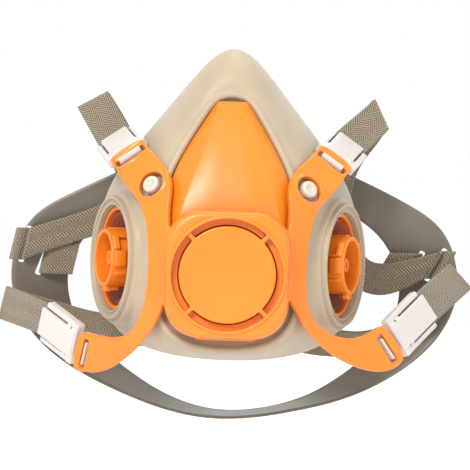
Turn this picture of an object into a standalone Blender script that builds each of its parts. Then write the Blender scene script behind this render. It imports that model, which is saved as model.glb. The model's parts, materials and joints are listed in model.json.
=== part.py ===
"""Half-mask respirator: soft facepiece, rigid front, cheek ports, yoke, straps and head cradle.

Frame: origin in the middle of the face opening, +X to the viewer's right, +Y towards the wearer,
+Z up. The numbers below are millimetres; MM turns them into metres.
"""

import math

import bmesh
import bpy
from mathutils import Matrix, Vector

MM = 0.001
GAP = 0.3
UP = Vector((0.0, 0.0, 1.0))

# Facepiece
FACEPIECE_WALL = 2.2
WALL_BULGE = 4.5
SEAL_DEPTH = 8.0
SEAL_SCALE_X = 0.74
SEAL_SCALE_Z = 0.80

# Outlines of half the facepiece, from the nose down to the chin: (x, y, z)
INNER_EDGE = [
    (0.0, -17.0, 41.0), (5.0, -17.2, 40.4), (8.6, -19.2, 35.0), (12.8, -21.5, 27.0),
    (17.6, -23.8, 18.0), (21.6, -26.2, 8.5), (24.0, -28.2, -4.0), (25.0, -29.8, -20.0),
    (25.0, -29.8, -36.0), (23.4, -30.0, -45.5), (17.5, -31.0, -51.5), (9.0, -32.5, -54.0),
    (0.0, -33.0, -54.6),
]
FRONT_EDGE = [
    (0.0, -21.5, 46.4), (7.8, -22.0, 44.6), (12.2, -24.5, 38.0), (17.6, -27.0, 28.9),
    (23.0, -29.0, 19.2), (27.4, -31.0, 9.0), (29.8, -33.0, -4.0), (30.6, -35.0, -20.0),
    (30.6, -35.0, -36.0), (28.6, -34.5, -47.8), (21.5, -35.0, -56.2), (11.0, -37.0, -59.2),
    (0.0, -37.5, -59.8),
]
WIDEST_LINE = [
    (0.0, -10.0, 66.6), (9.2, -8.0, 60.4), (19.2, -3.0, 48.4), (31.0, 3.0, 34.2),
    (43.0, 9.0, 19.8), (51.4, 14.0, 6.5), (55.8, 17.0, -8.0), (56.6, 18.0, -24.0),
    (54.6, 17.0, -40.0), (49.5, 13.0, -52.6), (38.0, 6.0, -60.4), (20.0, 0.0, -64.2),
    (0.0, -3.0, -65.0),
]
WALL_STEPS = [0.0, 0.33, 0.7]

# Cheek ports, turned about an axis that points outwards and forwards
PORT_CENTRE = (50.2, -5.0, -24.3)
PORT_TURN = math.radians(68.0)
LIP_RADIUS = 26.0
PORT_BORE_RADIUS = 22.6
PORT_DEPTH = 12.5
TUBE_RADIUS = 12.3
TUBE_BORE_RADIUS = 10.6
TUBE_REACH = 3.0
GASKET_RISE = 6.0
LUG_REACH = 2.0
LUG_COUNT = 3
FLAP_RADIUS = 12.2
FLAP_THICKNESS = 0.8

# Rigid nose shell, rows from the top down: y and z of the centre, then (x, y) of ridge and edge
SHELL_WALL = 2.0
SHELL_ROWS = [
    (42.3, -26.0, (5.6, -25.4), (6.4, -23.8)),
    (31.0, -32.0, (8.6, -31.2), (13.3, -27.2)),
    (18.5, -37.5, (12.8, -36.1), (20.6, -30.2)),
    (8.0, -41.0, (16.3, -39.6), (24.6, -32.8)),
    (-3.0, -43.7, (19.8, -42.6), (26.6, -34.8)),
    (-15.0, -43.7, (22.0, -43.5), (27.4, -36.8)),
    (-42.0, -43.7, (22.0, -43.5), (27.0, -36.8)),
    (-50.0, -43.7, (18.5, -43.4), (22.3, -37.6)),
    (-56.0, -41.0, (9.0, -40.7), (11.5, -39.4)),
]

# Exhalation valve
VALVE_CENTRE_Z = -28.5
SEAT_HOLE_RADIUS = 15.3
SEAT_INNER_RADIUS = 11.8
SEAT_FRONT_Y = -44.2
SEAT_THICKNESS = 2.4

# Yoke cover: a rounded square box that is open at the back
COVER_CENTRE_Z = -28.9
COVER_FRONT_Y = -60.0
COVER_BACK_Y = -44.0
COVER_WALL = 1.8
COVER_CORNER = 14.0
COVER_WIDTH_FRONT = 48.6
COVER_WIDTH_BACK = 50.6
COVER_EXTRA_HEIGHT = 1.6
DISC_RADIUS = 19.4
SLOT_RING_RADIUS = 22.4
SPOKE_WIDTH = 3.0

# Yoke arms: (inner edge, outer edge) of the front surface, from the upper tab down
ARM_WALL = 2.6
UPPER_ARM = [
    ((38.6, -17.5, 26.6), (51.0, -18.5, 18.0)),
    ((34.0, -23.6, 21.4), (48.0, -21.2, 12.6)),
    ((28.2, -31.0, 16.0), (43.9, -26.2, 6.6)),
    ((24.6, -36.8, 10.6), (40.4, -30.2, 3.0)),
    ((24.4, -40.3, 4.0), (37.4, -33.0, -0.4)),
    ((25.4, -42.0, -4.0), (35.2, -35.0, -5.0)),
    ((24.6, -45.5, -12.5), (33.7, -37.0, -12.0)),
    ((24.0, -46.5, -21.0), (32.8, -38.5, -20.5)),
    ((24.0, -46.5, -29.0), (32.6, -39.0, -29.0)),
    ((24.6, -45.5, -37.5), (33.0, -38.8, -37.0)),
]
LOWER_ARM = {
    "left": [
        ((26.6, -43.5, -44.5), (34.6, -37.0, -45.5)),
        ((30.2, -39.5, -52.2), (37.8, -33.5, -52.6)),
        ((35.0, -34.0, -59.0), (42.6, -29.0, -56.8)),
        ((42.0, -27.0, -66.2), (48.5, -24.0, -57.6)),
        ((51.0, -18.5, -72.6), (54.8, -18.5, -56.8)),
        ((58.8, -12.0, -73.4), (58.8, -14.8, -56.0)),
        ((65.1, -6.9, -70.3), (61.9, -12.5, -55.8)),
    ],
    "right": [
        ((28.2, -42.5, -41.5), (34.0, -37.5, -43.0)),
        ((33.0, -38.5, -49.5), (37.8, -33.5, -48.5)),
        ((40.0, -33.0, -57.0), (43.8, -28.5, -52.6)),
        ((49.5, -26.0, -63.6), (50.5, -22.5, -54.6)),
        ((59.5, -18.0, -67.8), (57.5, -17.5, -54.0)),
        ((69.5, -12.0, -69.3), (62.8, -14.2, -51.0)),
        ((78.0, -8.1, -63.5), (67.0, -12.0, -47.8)),
    ],
}
TAB_BAR = 3.0
TAB_SLOT_WIDTH = 3.2
TAB_SLOT_LENGTH = 13.6
STUD_HOLE_RADIUS = 5.6
STUD_RADIUS = 3.7
STUD_STEM_RADIUS = 2.0
STUD_STATION = 3
STUD_SHOULDER = -3.0
STUD_STEM_END = -14.0

# Buckles: local x along the bar, y along the strap, z out of the face
BUCKLE_HALF_WIDTH = 9.4
BUCKLE_START = 4.4
BUCKLE_END = 29.0
BUCKLE_BACK = -3.9
BUCKLE_FRONT = 0.9
CHANNEL_HALF_WIDTH = 8.2
CHANNEL_START = 9.5
CHANNEL_BACK = -2.4
CHANNEL_FRONT = -0.6
TONGUE_HALF_WIDTH = 6.3
HOOK_HALF_WIDTH = 5.2
HOOK_INNER_RADIUS = 2.5
HOOK_OUTER_RADIUS = 3.8
BUCKLE_DIRECTIONS = {
    "left_upper": (-0.36, 0.90, 0.22),
    "right_upper": (0.38, 0.89, 0.24),
    "left_lower": (-0.64, 0.63, 0.41),
    "right_lower": (0.58, 0.57, 0.58),
}

# Straps: routes as (centre, half width vector)
STRAP_THICKNESS = 1.1
STRAP_HALF_WIDTH = 7.8
STRAP_FOLDS = {
    "left_upper": ((-61.0, 20.0, 43.5), (6.6, -0.5, 3.7)),
    "right_upper": ((64.7, 20.0, 41.3), (3.2, -1.0, -6.7)),
    "left_lower": ((-98.0, 30.0, -46.6), (1.7, -0.6, 7.3)),
    "right_lower": ((102.6, 30.0, -28.8), (5.2, 0.4, -5.4)),
}
REAR_STRAPS = {
    "left_upper": [
        ((-60.5, 22.6, 43.2), (6.6, -0.5, 3.7)),
        ((-54.0, 28.0, 34.0), (6.7, 1.0, 3.2)),
        ((-46.0, 35.5, 20.0), (7.2, 1.5, 1.5)),
        ((-43.0, 41.0, 8.0), (7.2, 1.5, -1.5)),
        ((-47.0, 44.5, -1.5), (4.5, 1.0, -5.9)),
        ((-58.0, 46.5, -8.0), (-1.6, 0.5, -7.3)),
        ((-72.0, 47.2, -12.8), (-2.6, 0.4, -7.0)),
        ((-90.5, 46.8, -19.5), (-1.6, 0.4, -7.3)),
    ],
    "right_upper": [
        ((64.0, 22.6, 41.0), (3.2, -1.0, -6.7)),
        ((58.5, 28.0, 33.5), (5.2, -1.6, -5.2)),
        ((50.5, 34.5, 23.0), (6.6, -1.6, -3.2)),
        ((46.5, 39.5, 9.0), (7.3, -0.8, -1.2)),
        ((47.0, 43.0, -8.0), (7.3, 0.0, 1.2)),
        ((54.0, 45.5, -24.0), (5.4, 0.5, 5.2)),
        ((66.0, 46.6, -32.5), (0.6, 0.6, 7.4)),
        ((80.0, 46.8, -29.0), (1.5, 0.2, 7.2)),
        ((92.0, 46.5, -24.0), (3.6, 0.0, 6.4)),
    ],
    "left_lower": [
        ((-97.6, 33.2, -46.8), (1.7, -0.6, 7.3)),
        ((-88.0, 37.5, -50.0), (1.9, -0.4, 7.2)),
        ((-74.0, 41.5, -53.6), (2.0, 0.0, 7.2)),
        ((-60.0, 44.0, -57.6), (1.4, 0.0, 7.4)),
        ((-44.0, 46.0, -58.0), (-0.4, 0.0, 7.5)),
        ((-26.0, 47.5, -55.8), (-0.5, 0.0, 7.5)),
        ((-11.5, 48.0, -55.0), (0.0, 0.0, 7.5)),
    ],
    "right_lower": [
        ((102.0, 33.2, -29.2), (5.2, 0.4, -5.4)),
        ((91.0, 38.5, -42.5), (4.6, 1.8, -5.4)),
        ((77.0, 42.0, -55.0), (2.6, 5.6, -4.2)),
        ((61.0, 44.0, -61.0), (1.2, 5.2, -5.2)),
        ((44.0, 46.0, -60.0), (0.6, 2.0, -7.2)),
        ((26.0, 47.5, -56.6), (0.6, 0.4, -7.4)),
        ((11.5, 48.0, -55.0), (0.0, 0.0, -7.5)),
    ],
}

# Head cradle: a closed band as (centre, half width vector), clockwise from the top middle
CRADLE_THICKNESS = 1.7
CRADLE_BAND = [
    ((0.0, 54.0, 22.0), (0.0, 1.0, 7.4)),
    ((30.0, 54.0, 18.5), (1.5, 0.5, 7.3)),
    ((56.0, 53.5, 7.5), (3.4, 0.0, 7.0)),
    ((75.0, 53.0, -3.0), (5.5, -1.0, 7.5)),
    ((87.5, 53.5, -14.0), (11.5, -2.5, 8.0)),
    ((92.5, 54.0, -28.0), (13.5, -3.5, 1.5)),
    ((92.0, 54.5, -43.0), (12.5, -4.5, -2.5)),
    ((84.0, 55.5, -59.0), (8.0, -5.5, -5.5)),
    ((67.0, 57.0, -74.5), (4.5, -6.0, -4.5)),
    ((50.0, 58.5, -84.3), (2.4, -6.7, -3.0)),
    ((36.0, 59.5, -89.8), (1.0, -7.3, -1.2)),
    ((17.0, 60.0, -94.6), (0.4, -7.4, -0.8)),
    ((0.0, 60.0, -96.0), (0.0, -7.5, -0.9)),
    ((-15.0, 60.0, -94.5), (-0.5, -7.4, -1.5)),
    ((-33.0, 59.5, -88.7), (-1.5, -7.0, -2.6)),
    ((-50.0, 58.5, -79.6), (-3.0, -6.5, -4.4)),
    ((-67.0, 57.0, -69.5), (-5.5, -6.0, -5.2)),
    ((-80.0, 55.5, -56.0), (-9.2, -5.5, -5.0)),
    ((-86.0, 54.5, -41.0), (-12.6, -4.5, -2.0)),
    ((-86.0, 54.0, -27.0), (-13.0, -3.5, 3.0)),
    ((-80.0, 53.5, -14.0), (-10.0, -2.5, 8.5)),
    ((-68.0, 53.0, -4.0), (-5.0, -1.0, 7.6)),
    ((-52.0, 53.5, 5.5), (-3.4, 0.0, 7.0)),
    ((-28.0, 54.0, 18.0), (-1.5, 0.5, 7.3)),
]
CRADLE_SLOTS = {
    "left": [((-92.6, 53.0, -20.0), (-1.6, 0.4, -7.3)), ((-84.0, 53.0, -26.0), (-2.6, 0.4, -7.0))],
    "right": [((95.0, 53.0, -23.5), (3.6, 0.0, 6.4)), ((85.0, 53.0, -25.0), (3.6, 0.0, 6.4))],
}
CRADLE_SLOT_LENGTH = 17.0
CRADLE_SLOT_WIDTH = 2.6

# Neck clasp between the ends of the lower straps
CLASP_Y = 48.0
CLASP_Z = -55.0
CLASP_HEIGHT = 19.0
CLASP_WALL = 1.8
CLASP_LENGTH = 9.0
CLASP_WINDOW_START = 5.4
CLASP_SIDE_BAR = 1.6
HOOK_PLATE_END = -2.4
EYE_PLATE_END = -1.2
EYE_HOLE = (1.2, 3.8)
EYE_HOLE_MARGIN = 4.0
FINGER_INNER_RADIUS = 2.0
FINGER_OUTER_RADIUS = 3.4
FINGER_HALF_WIDTH = 3.0


def mm(point):
    """Millimetres to metres."""
    return Vector(point) * MM


def side_sign(side):
    return -1.0 if side.startswith("left") else 1.0


def mirrored(point, side):
    """A point given for the right side, moved to the side asked for."""
    return Vector((point[0] * side_sign(side), point[1], point[2]))


def axes_matrix(origin, x_axis, y_axis):
    """Placement in metres whose axes are x_axis, y_axis made square to it, and their cross."""
    x_dir = Vector(x_axis).normalized()
    y_dir = Vector(y_axis) - x_dir * Vector(y_axis).dot(x_dir)
    y_dir.normalize()
    z_dir = x_dir.cross(y_dir)
    turn = Matrix((x_dir, y_dir, z_dir)).transposed().to_4x4()
    return Matrix.Translation(mm(origin)) @ turn


def new_collection(name):
    collection = bpy.data.collections.new(name)
    bpy.context.scene.collection.children.link(collection)
    return collection


def clear_scene():
    for item in list(bpy.data.objects):
        bpy.data.objects.remove(item, do_unlink=True)


def make_material(name, colour, roughness):
    material = bpy.data.materials.new(name)
    material.use_nodes = True
    shader = material.node_tree.nodes["Principled BSDF"]
    shader.inputs["Base Color"].default_value = (*colour, 1.0)
    shader.inputs["Roughness"].default_value = roughness
    shader.inputs["Metallic"].default_value = 0.0
    return material


clear_scene()
PARTS = new_collection("respirator")
CUTTERS = new_collection("respirator_cutters")
ELASTOMER = make_material("beige_elastomer", (0.62, 0.54, 0.42), 0.6)
ORANGE = make_material("orange_plastic", (0.95, 0.30, 0.03), 0.35)
GASKET = make_material("dark_red_rubber", (0.14, 0.03, 0.015), 0.6)
SILICONE = make_material("pale_silicone", (0.75, 0.72, 0.66), 0.45)
CREAM = make_material("cream_plastic", (0.78, 0.72, 0.60), 0.4)
WHITE = make_material("white_plastic", (0.85, 0.83, 0.80), 0.35)
WEBBING = make_material("khaki_webbing", (0.28, 0.22, 0.15), 0.9)
GREY = make_material("grey_brown_plastic", (0.16, 0.14, 0.11), 0.5)


def add_object(name, mesh, material, collection=None):
    item = bpy.data.objects.new(name, mesh)
    (collection or PARTS).objects.link(item)
    if material:
        mesh.materials.clear()
        mesh.materials.append(material)
    return item


def mesh_from(name, build):
    """A mesh made by a function that fills a bmesh."""
    shape = bmesh.new()
    build(shape)
    mesh = bpy.data.meshes.new(name)
    shape.to_mesh(mesh)
    shape.free()
    return mesh


def make_guide(item):
    """Keep an object as a cutter or a joining piece, out of the finished part."""
    item.hide_render = True
    item.display_type = "WIRE"
    for collection in list(item.users_collection):
        collection.objects.unlink(item)
    CUTTERS.objects.link(item)


def join(item, other, operation):
    """Boolean with another object, which becomes a guide."""
    make_guide(other)
    step = item.modifiers.new(f"{operation.lower()}_{other.name}", "BOOLEAN")
    step.operation = operation
    step.solver = "EXACT"
    step.object = other


def smooth(item, angle=35.0):
    item.data.shade_smooth()
    item.data.set_sharp_from_angle(angle=math.radians(angle))


def subdivide(item, keep_corners=False):
    step = item.modifiers.new("smooth_surface", "SUBSURF")
    step.levels = 1
    step.render_levels = 1
    if keep_corners:
        step.boundary_smooth = "PRESERVE_CORNERS"


def thicken(item, thickness, offset):
    step = item.modifiers.new("wall", "SOLIDIFY")
    step.thickness = thickness * MM
    step.offset = offset
    step.use_even_offset = True


def grid_object(name, rows, material, closed=False):
    """An open quad surface through rows of points; the last row joins the first if closed."""

    def build(shape):
        lines = [[shape.verts.new(mm(point)) for point in row] for row in rows]
        pairs = list(zip(lines, lines[1:] + lines[:1]))
        if not closed:
            pairs.pop()
        for line, next_line in pairs:
            for here in range(len(line) - 1):
                corners = (line[here], line[here + 1], next_line[here + 1], next_line[here])
                shape.faces.new(corners)

    return add_object(name, mesh_from(name, build), material)


def ribbon(name, stations, thickness, material, closed=False):
    """A flat band through stations of (centre, half width vector)."""
    rows = [[Vector(c) - Vector(w), Vector(c), Vector(c) + Vector(w)] for c, w in stations]
    item = grid_object(name, rows, material, closed)
    subdivide(item, keep_corners=True)
    thicken(item, thickness, 0.0)
    smooth(item)
    return item


def turned(name, profile, material, steps=32):
    """A closed profile of (radius, height), turned about local Z."""

    def build(shape):
        points = [shape.verts.new(mm((radius, 0.0, height))) for radius, height in profile]
        for here, start in enumerate(points):
            shape.edges.new((start, points[(here + 1) % len(points)]))

    item = add_object(name, mesh_from(name, build), material)
    screw = item.modifiers.new("turn", "SCREW")
    screw.steps = steps
    screw.render_steps = steps
    screw.use_merge_vertices = True
    screw.merge_threshold = 0.00001
    smooth(item)
    return item


def box(name, low, high, material=None):
    """A box between two corners."""
    low_corner = Vector(low)
    size = Vector(high) - low_corner

    def build(shape):
        bmesh.ops.create_cube(shape, size=1.0)
        bmesh.ops.scale(shape, vec=size * MM, verts=shape.verts)
        bmesh.ops.translate(shape, vec=mm(low_corner + size / 2), verts=shape.verts)

    return add_object(name, mesh_from(name, build), material)


def cylinder(name, radius, low, high, material=None, sides=32):
    """A cylinder along local Z from low to high."""

    def build(shape):
        bmesh.ops.create_cone(
            shape, cap_ends=True, segments=sides, radius1=radius * MM, radius2=radius * MM,
            depth=(high - low) * MM,
        )
        bmesh.ops.translate(shape, vec=mm((0.0, 0.0, (low + high) / 2)), verts=shape.verts)

    item = add_object(name, mesh_from(name, build), material)
    smooth(item)
    return item


def prism(name, outline, low, high, material=None):
    """A closed outline of (x, y), given anticlockwise, extruded along local Z."""

    def build(shape):
        floor = [shape.verts.new(mm((x, y, low))) for x, y in outline]
        top = [shape.verts.new(mm((x, y, high))) for x, y in outline]
        shape.faces.new(list(reversed(floor)))
        shape.faces.new(top)
        count = len(outline)
        for here in range(count):
            after = (here + 1) % count
            shape.faces.new((floor[here], floor[after], top[after], top[here]))

    return add_object(name, mesh_from(name, build), material)


def bake(item):
    """Apply an object's modifiers and remove its guides, so that its mesh can be shared."""
    bpy.context.view_layer.update()
    guides = [step.object for step in item.modifiers if step.type == "BOOLEAN"]
    evaluated = item.evaluated_get(bpy.context.evaluated_depsgraph_get())
    mesh = bpy.data.meshes.new_from_object(evaluated)
    bpy.data.objects.remove(item, do_unlink=True)
    for guide in guides:
        bpy.data.objects.remove(guide, do_unlink=True)
    return mesh


def port_matrix(side):
    """Placement of a cheek port: local Z points outwards along the port's axis."""
    sign = side_sign(side)
    axis = Vector((sign * math.sin(PORT_TURN), -math.cos(PORT_TURN), 0.0))
    return axes_matrix(mirrored(PORT_CENTRE, side), UP.cross(axis), UP)


def arm_stations(side):
    """Arm edges on one side, inner edge first."""
    stations = UPPER_ARM + LOWER_ARM[side]
    return [(mirrored(inner, side), mirrored(outer, side)) for inner, outer in stations]


def tab_frame(name):
    """Pivot point, slot direction and inward direction of a yoke tab."""
    side, level = name.split("_")
    stations = arm_stations(side)
    end, before = (stations[0], stations[1]) if level == "upper" else (stations[-1], stations[-2])
    end_middle = (end[0] + end[1]) / 2
    across = (end[1] - end[0]).normalized()
    inward = (before[0] + before[1]) / 2 - end_middle
    inward = (inward - across * inward.dot(across)).normalized()
    out = across.cross(inward)
    if out.y > 0.0:
        out = -out
    pivot = end_middle + inward * (TAB_BAR / 2 + 0.9) - out * (ARM_WALL / 2)
    return pivot, across, inward


def stud_frame(side):
    """Centre and outward normal of the stud hole in an upper tab."""
    stations = arm_stations(side)
    inner, outer = stations[STUD_STATION]
    above = sum(stations[STUD_STATION - 1], Vector())
    below = sum(stations[STUD_STATION + 1], Vector())
    normal = (outer - inner).cross(above - below).normalized()
    if normal.y > 0.0:
        normal = -normal
    return (inner + outer) / 2, normal


def stud_matrix(side):
    centre, normal = stud_frame(side)
    across = UP.cross(normal)
    return axes_matrix(centre, across, normal.cross(across))


def facepiece_rows():
    """Rings of half the facepiece from the front edge, over the cheeks, to the inner seal."""
    rows = []
    for inner, front, wide in zip(INNER_EDGE, FRONT_EDGE, WIDEST_LINE):
        front = Vector(front)
        wide = Vector(wide)
        row = [Vector(inner)]
        for share in WALL_STEPS:
            point = front.lerp(wide, share)
            point.y -= WALL_BULGE * 4.0 * share * (1.0 - share)
            row.append(point)
        row.append(wide)
        row.append(wide + Vector((-wide.x * 0.015, SEAL_DEPTH, -wide.z * 0.015)))
        row.append(Vector((wide.x * SEAL_SCALE_X, wide.y + SEAL_DEPTH * 0.45, wide.z * SEAL_SCALE_Z)))
        rows.append(row)
    return rows


def add_mirror(item):
    mirror = item.modifiers.new("other_half", "MIRROR")
    mirror.use_clip = True
    mirror.merge_threshold = 0.00001


def make_facepiece():
    item = grid_object("facepiece", facepiece_rows(), ELASTOMER)
    add_mirror(item)
    subdivide(item)
    thicken(item, FACEPIECE_WALL, -1.0)
    lip_profile = [
        (LIP_RADIUS - 1.2, 0.0), (LIP_RADIUS, -1.2), (LIP_RADIUS + 0.6, -6.0),
        (LIP_RADIUS + 1.2, -PORT_DEPTH), (PORT_BORE_RADIUS - 2.0, -PORT_DEPTH),
        (PORT_BORE_RADIUS - 2.0, 0.0),
    ]
    for side in ("left", "right"):
        lip = turned(f"{side}_port_lip", lip_profile, None)
        lip.matrix_world = port_matrix(side)
        join(item, lip, "UNION")
    for side in ("left", "right"):
        bore = cylinder(f"{side}_port_bore", PORT_BORE_RADIUS, -PORT_DEPTH - 2.0, 8.0)
        bore.matrix_world = port_matrix(side)
        join(item, bore, "DIFFERENCE")
        stem_hole = cylinder(f"{side}_stem_hole", STUD_STEM_RADIUS + GAP, -25.0, 0.0, sides=16)
        stem_hole.matrix_world = stud_matrix(side)
        join(item, stem_hole, "DIFFERENCE")
    smooth(item)


def make_nose_shell():
    rows = []
    for height, centre_y, ridge, edge in SHELL_ROWS:
        rows.append([(0.0, centre_y, height), (*ridge, height), (*edge, height)])
    item = grid_object("nose_shell", rows, ORANGE)
    add_mirror(item)
    thicken(item, SHELL_WALL, 1.0)
    hole = cylinder("exhalation_hole", SEAT_HOLE_RADIUS, -6.0, 6.0)
    hole.matrix_world = valve_matrix(SEAT_FRONT_Y)
    join(item, hole, "DIFFERENCE")
    smooth(item, 10.0)


def valve_matrix(y):
    """Placement on the exhalation valve's axis: local Z points forwards."""
    return axes_matrix((0.0, y, VALVE_CENTRE_Z), (1.0, 0.0, 0.0), (0.0, 0.0, 1.0))


def plus_outline(half_length, half_width):
    """A plus sign as an anticlockwise outline."""
    corner = [(half_length, -half_width), (half_length, half_width), (half_width, half_width)]
    points = []
    for quarter in range(4):
        turn = math.pi / 2 * quarter
        for x, y in corner:
            points.append((
                x * math.cos(turn) - y * math.sin(turn),
                x * math.sin(turn) + y * math.cos(turn),
            ))
    return points


def make_port(side):
    """Rigid cup, bayonet tube, lugs, spider and post of one cheek port, with gasket and flap."""
    place = port_matrix(side)
    cup_radius = PORT_BORE_RADIUS - 0.4
    floor = -PORT_DEPTH + 2.2
    profile = [
        (cup_radius, -2.6), (cup_radius, -PORT_DEPTH), (TUBE_BORE_RADIUS, -PORT_DEPTH),
        (TUBE_BORE_RADIUS, TUBE_REACH), (TUBE_RADIUS, TUBE_REACH), (TUBE_RADIUS, floor),
        (cup_radius - 1.7, floor), (cup_radius - 1.7, -2.6),
    ]
    housing = turned(f"{side}_port_housing", profile, ORANGE)
    housing.matrix_world = place
    spider = prism(f"{side}_spider", plus_outline(TUBE_BORE_RADIUS + 0.8, 0.9), -PORT_DEPTH, floor)
    post = cylinder(f"{side}_post", 3.0, -PORT_DEPTH, 1.0, sides=16)
    guides = [spider, post]
    for number in range(LUG_COUNT):
        lug_low = (TUBE_RADIUS - 0.8, -3.2, TUBE_REACH - 4.4)
        lug_high = (TUBE_RADIUS + LUG_REACH, 3.2, TUBE_REACH - 2.0)
        lug = box(f"{side}_lug_{number}", lug_low, lug_high)
        guides.append(lug)
    for number, guide in enumerate(guides):
        turn = Matrix.Rotation(math.radians(120.0 * number + 30.0), 4, "Z")
        guide.matrix_world = place @ turn
        join(housing, guide, "UNION")

    gasket_low = floor + GAP
    gasket_profile = [
        (cup_radius - 3.4, gasket_low + GASKET_RISE), (cup_radius - 2.1, gasket_low + GASKET_RISE),
        (cup_radius - 2.1, gasket_low), (TUBE_RADIUS + 0.6, gasket_low),
        (TUBE_RADIUS + 0.6, gasket_low + 1.6),
    ]
    gasket = turned(f"{side}_port_gasket", gasket_profile, GASKET)
    gasket.matrix_world = place

    flap_front = -PORT_DEPTH - GAP
    flap = cylinder(
        f"{side}_inhalation_flap", FLAP_RADIUS, flap_front - FLAP_THICKNESS, flap_front, SILICONE,
    )
    flap.matrix_world = place


def make_exhalation_valve():
    profile = [
        (SEAT_HOLE_RADIUS - GAP, 0.0), (SEAT_HOLE_RADIUS - GAP, -SEAT_THICKNESS),
        (SEAT_INNER_RADIUS, -SEAT_THICKNESS), (SEAT_INNER_RADIUS, 0.0),
    ]
    seat = turned("exhalation_seat", profile, CREAM)
    seat.matrix_world = valve_matrix(SEAT_FRONT_Y)
    spider = prism("seat_spider", plus_outline(SEAT_INNER_RADIUS + 1.0, 1.0), -SEAT_THICKNESS, -0.6)
    spider.matrix_world = valve_matrix(SEAT_FRONT_Y)
    join(seat, spider, "UNION")
    flap = cylinder("exhalation_flap", SEAT_INNER_RADIUS + 2.0, GAP, GAP + FLAP_THICKNESS, SILICONE)
    flap.matrix_world = valve_matrix(SEAT_FRONT_Y)


def rounded_square(width, height, corner, steps=6):
    """Anticlockwise outline of a rounded rectangle."""
    points = []
    for quarter, (sign_x, sign_y) in enumerate([(1, 1), (-1, 1), (-1, -1), (1, -1)]):
        centre_x = sign_x * (width / 2 - corner)
        centre_y = sign_y * (height / 2 - corner)
        for step in range(steps + 1):
            angle = math.pi / 2 * (quarter + step / steps)
            points.append((
                centre_x + corner * math.cos(angle),
                centre_y + corner * math.sin(angle),
            ))
    return points


def cover_layers(inset, front, back, rounding):
    """Outlines of the cover at their heights along the valve's axis, back to front."""
    wide = COVER_WIDTH_BACK - 2.0 * inset
    narrow = COVER_WIDTH_FRONT - 2.0 * inset
    corner = COVER_CORNER - inset
    tall = COVER_EXTRA_HEIGHT
    return [
        (rounded_square(wide, wide + tall, corner), back),
        (rounded_square(narrow, narrow + tall, corner), front - rounding),
        (rounded_square(narrow - 2 * rounding, narrow + tall - 2 * rounding, corner), front),
    ]


def lofted(name, layers, material=None):
    """A closed solid through outlines of equal length, each at its own height."""

    def build(shape):
        rings = []
        for outline, height in layers:
            rings.append([shape.verts.new(mm((x, y, height))) for x, y in outline])
        shape.faces.new(list(reversed(rings[0])))
        shape.faces.new(rings[-1])
        count = len(rings[0])
        for lower, upper in zip(rings, rings[1:]):
            for here in range(count):
                after = (here + 1) % count
                shape.faces.new((lower[here], lower[after], upper[after], upper[here]))

    return add_object(name, mesh_from(name, build), material)


def slot_sector(number):
    """Outline of one of the four openings between the disc and the cover's edge."""
    half_spoke = math.asin(SPOKE_WIDTH / 2 / DISC_RADIUS)
    start = math.radians(45.0 + 90.0 * number) + half_spoke
    sweep = math.pi / 2 - 2.0 * half_spoke
    steps = 8
    angles = [start + sweep * step / steps for step in range(steps + 1)]
    outer = [(SLOT_RING_RADIUS * math.cos(a), SLOT_RING_RADIUS * math.sin(a)) for a in angles]
    inner = [(DISC_RADIUS * math.cos(a), DISC_RADIUS * math.sin(a)) for a in reversed(angles)]
    return outer + inner


def make_yoke():
    cover_place = axes_matrix((0.0, 0.0, COVER_CENTRE_Z), (1.0, 0.0, 0.0), (0.0, 0.0, 1.0))
    front = -COVER_FRONT_Y
    back = -COVER_BACK_Y
    yoke = lofted("yoke", cover_layers(0.0, front, back, 1.2), ORANGE)
    yoke.matrix_world = cover_place
    for side in ("left", "right"):
        rows = [[inner, inner.lerp(outer, 0.5), outer] for inner, outer in arm_stations(side)]
        arm = grid_object(f"{side}_arm", rows, None)
        subdivide(arm)
        thicken(arm, ARM_WALL, side_sign(side))
        join(yoke, arm, "UNION")
    pocket_layers = cover_layers(COVER_WALL, front - 2.0, back - 6.0, 0.6)
    pocket = lofted("cover_pocket", pocket_layers)
    pocket.matrix_world = cover_place
    join(yoke, pocket, "DIFFERENCE")
    for number in range(4):
        sector = prism(f"slot_sector_{number}", slot_sector(number), front - 6.0, front + 4.0)
        sector.matrix_world = cover_place
        join(yoke, sector, "DIFFERENCE")
    for side in ("left", "right"):
        hole = cylinder(f"{side}_stud_hole", STUD_HOLE_RADIUS, -5.0, 3.0, sides=24)
        hole.matrix_world = stud_matrix(side)
        join(yoke, hole, "DIFFERENCE")
        for level in ("upper", "lower"):
            name = f"{side}_{level}"
            pivot, across, inward = tab_frame(name)
            half = TAB_SLOT_LENGTH / 2
            start = TAB_BAR / 2
            slot = box(f"{name}_slot", (-half, start, -5.0), (half, start + TAB_SLOT_WIDTH, 5.0))
            slot.matrix_world = axes_matrix(pivot, across, inward)
            join(yoke, slot, "DIFFERENCE")
    smooth(yoke)


def make_stud(side):
    profile = [
        (STUD_RADIUS - 0.5, 1.0), (STUD_RADIUS, 0.4), (STUD_RADIUS, STUD_SHOULDER),
        (STUD_STEM_RADIUS, STUD_SHOULDER), (STUD_STEM_RADIUS, STUD_STEM_END), (0.0, STUD_STEM_END),
        (0.0, 0.4),
    ]
    stud = turned(f"{side}_yoke_stud", profile, CREAM, 24)
    stud.matrix_world = stud_matrix(side)


def hook_outline():
    """Side view of the buckle's hook, which curls round the tab's end bar: (y, z) pairs."""
    start = math.radians(-50.0)
    end = math.radians(-200.0)
    steps = 10
    angles = [start + (end - start) * step / steps for step in range(steps + 1)]
    outer = [(HOOK_OUTER_RADIUS * math.cos(a), HOOK_OUTER_RADIUS * math.sin(a)) for a in angles]
    inner = [(HOOK_INNER_RADIUS * math.cos(a), HOOK_INNER_RADIUS * math.sin(a)) for a in angles]
    outer[0] = (BUCKLE_START + 1.0, BUCKLE_BACK)
    inner[0] = (BUCKLE_START + 1.0, CHANNEL_BACK)
    return list(reversed(outer)) + inner


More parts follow.
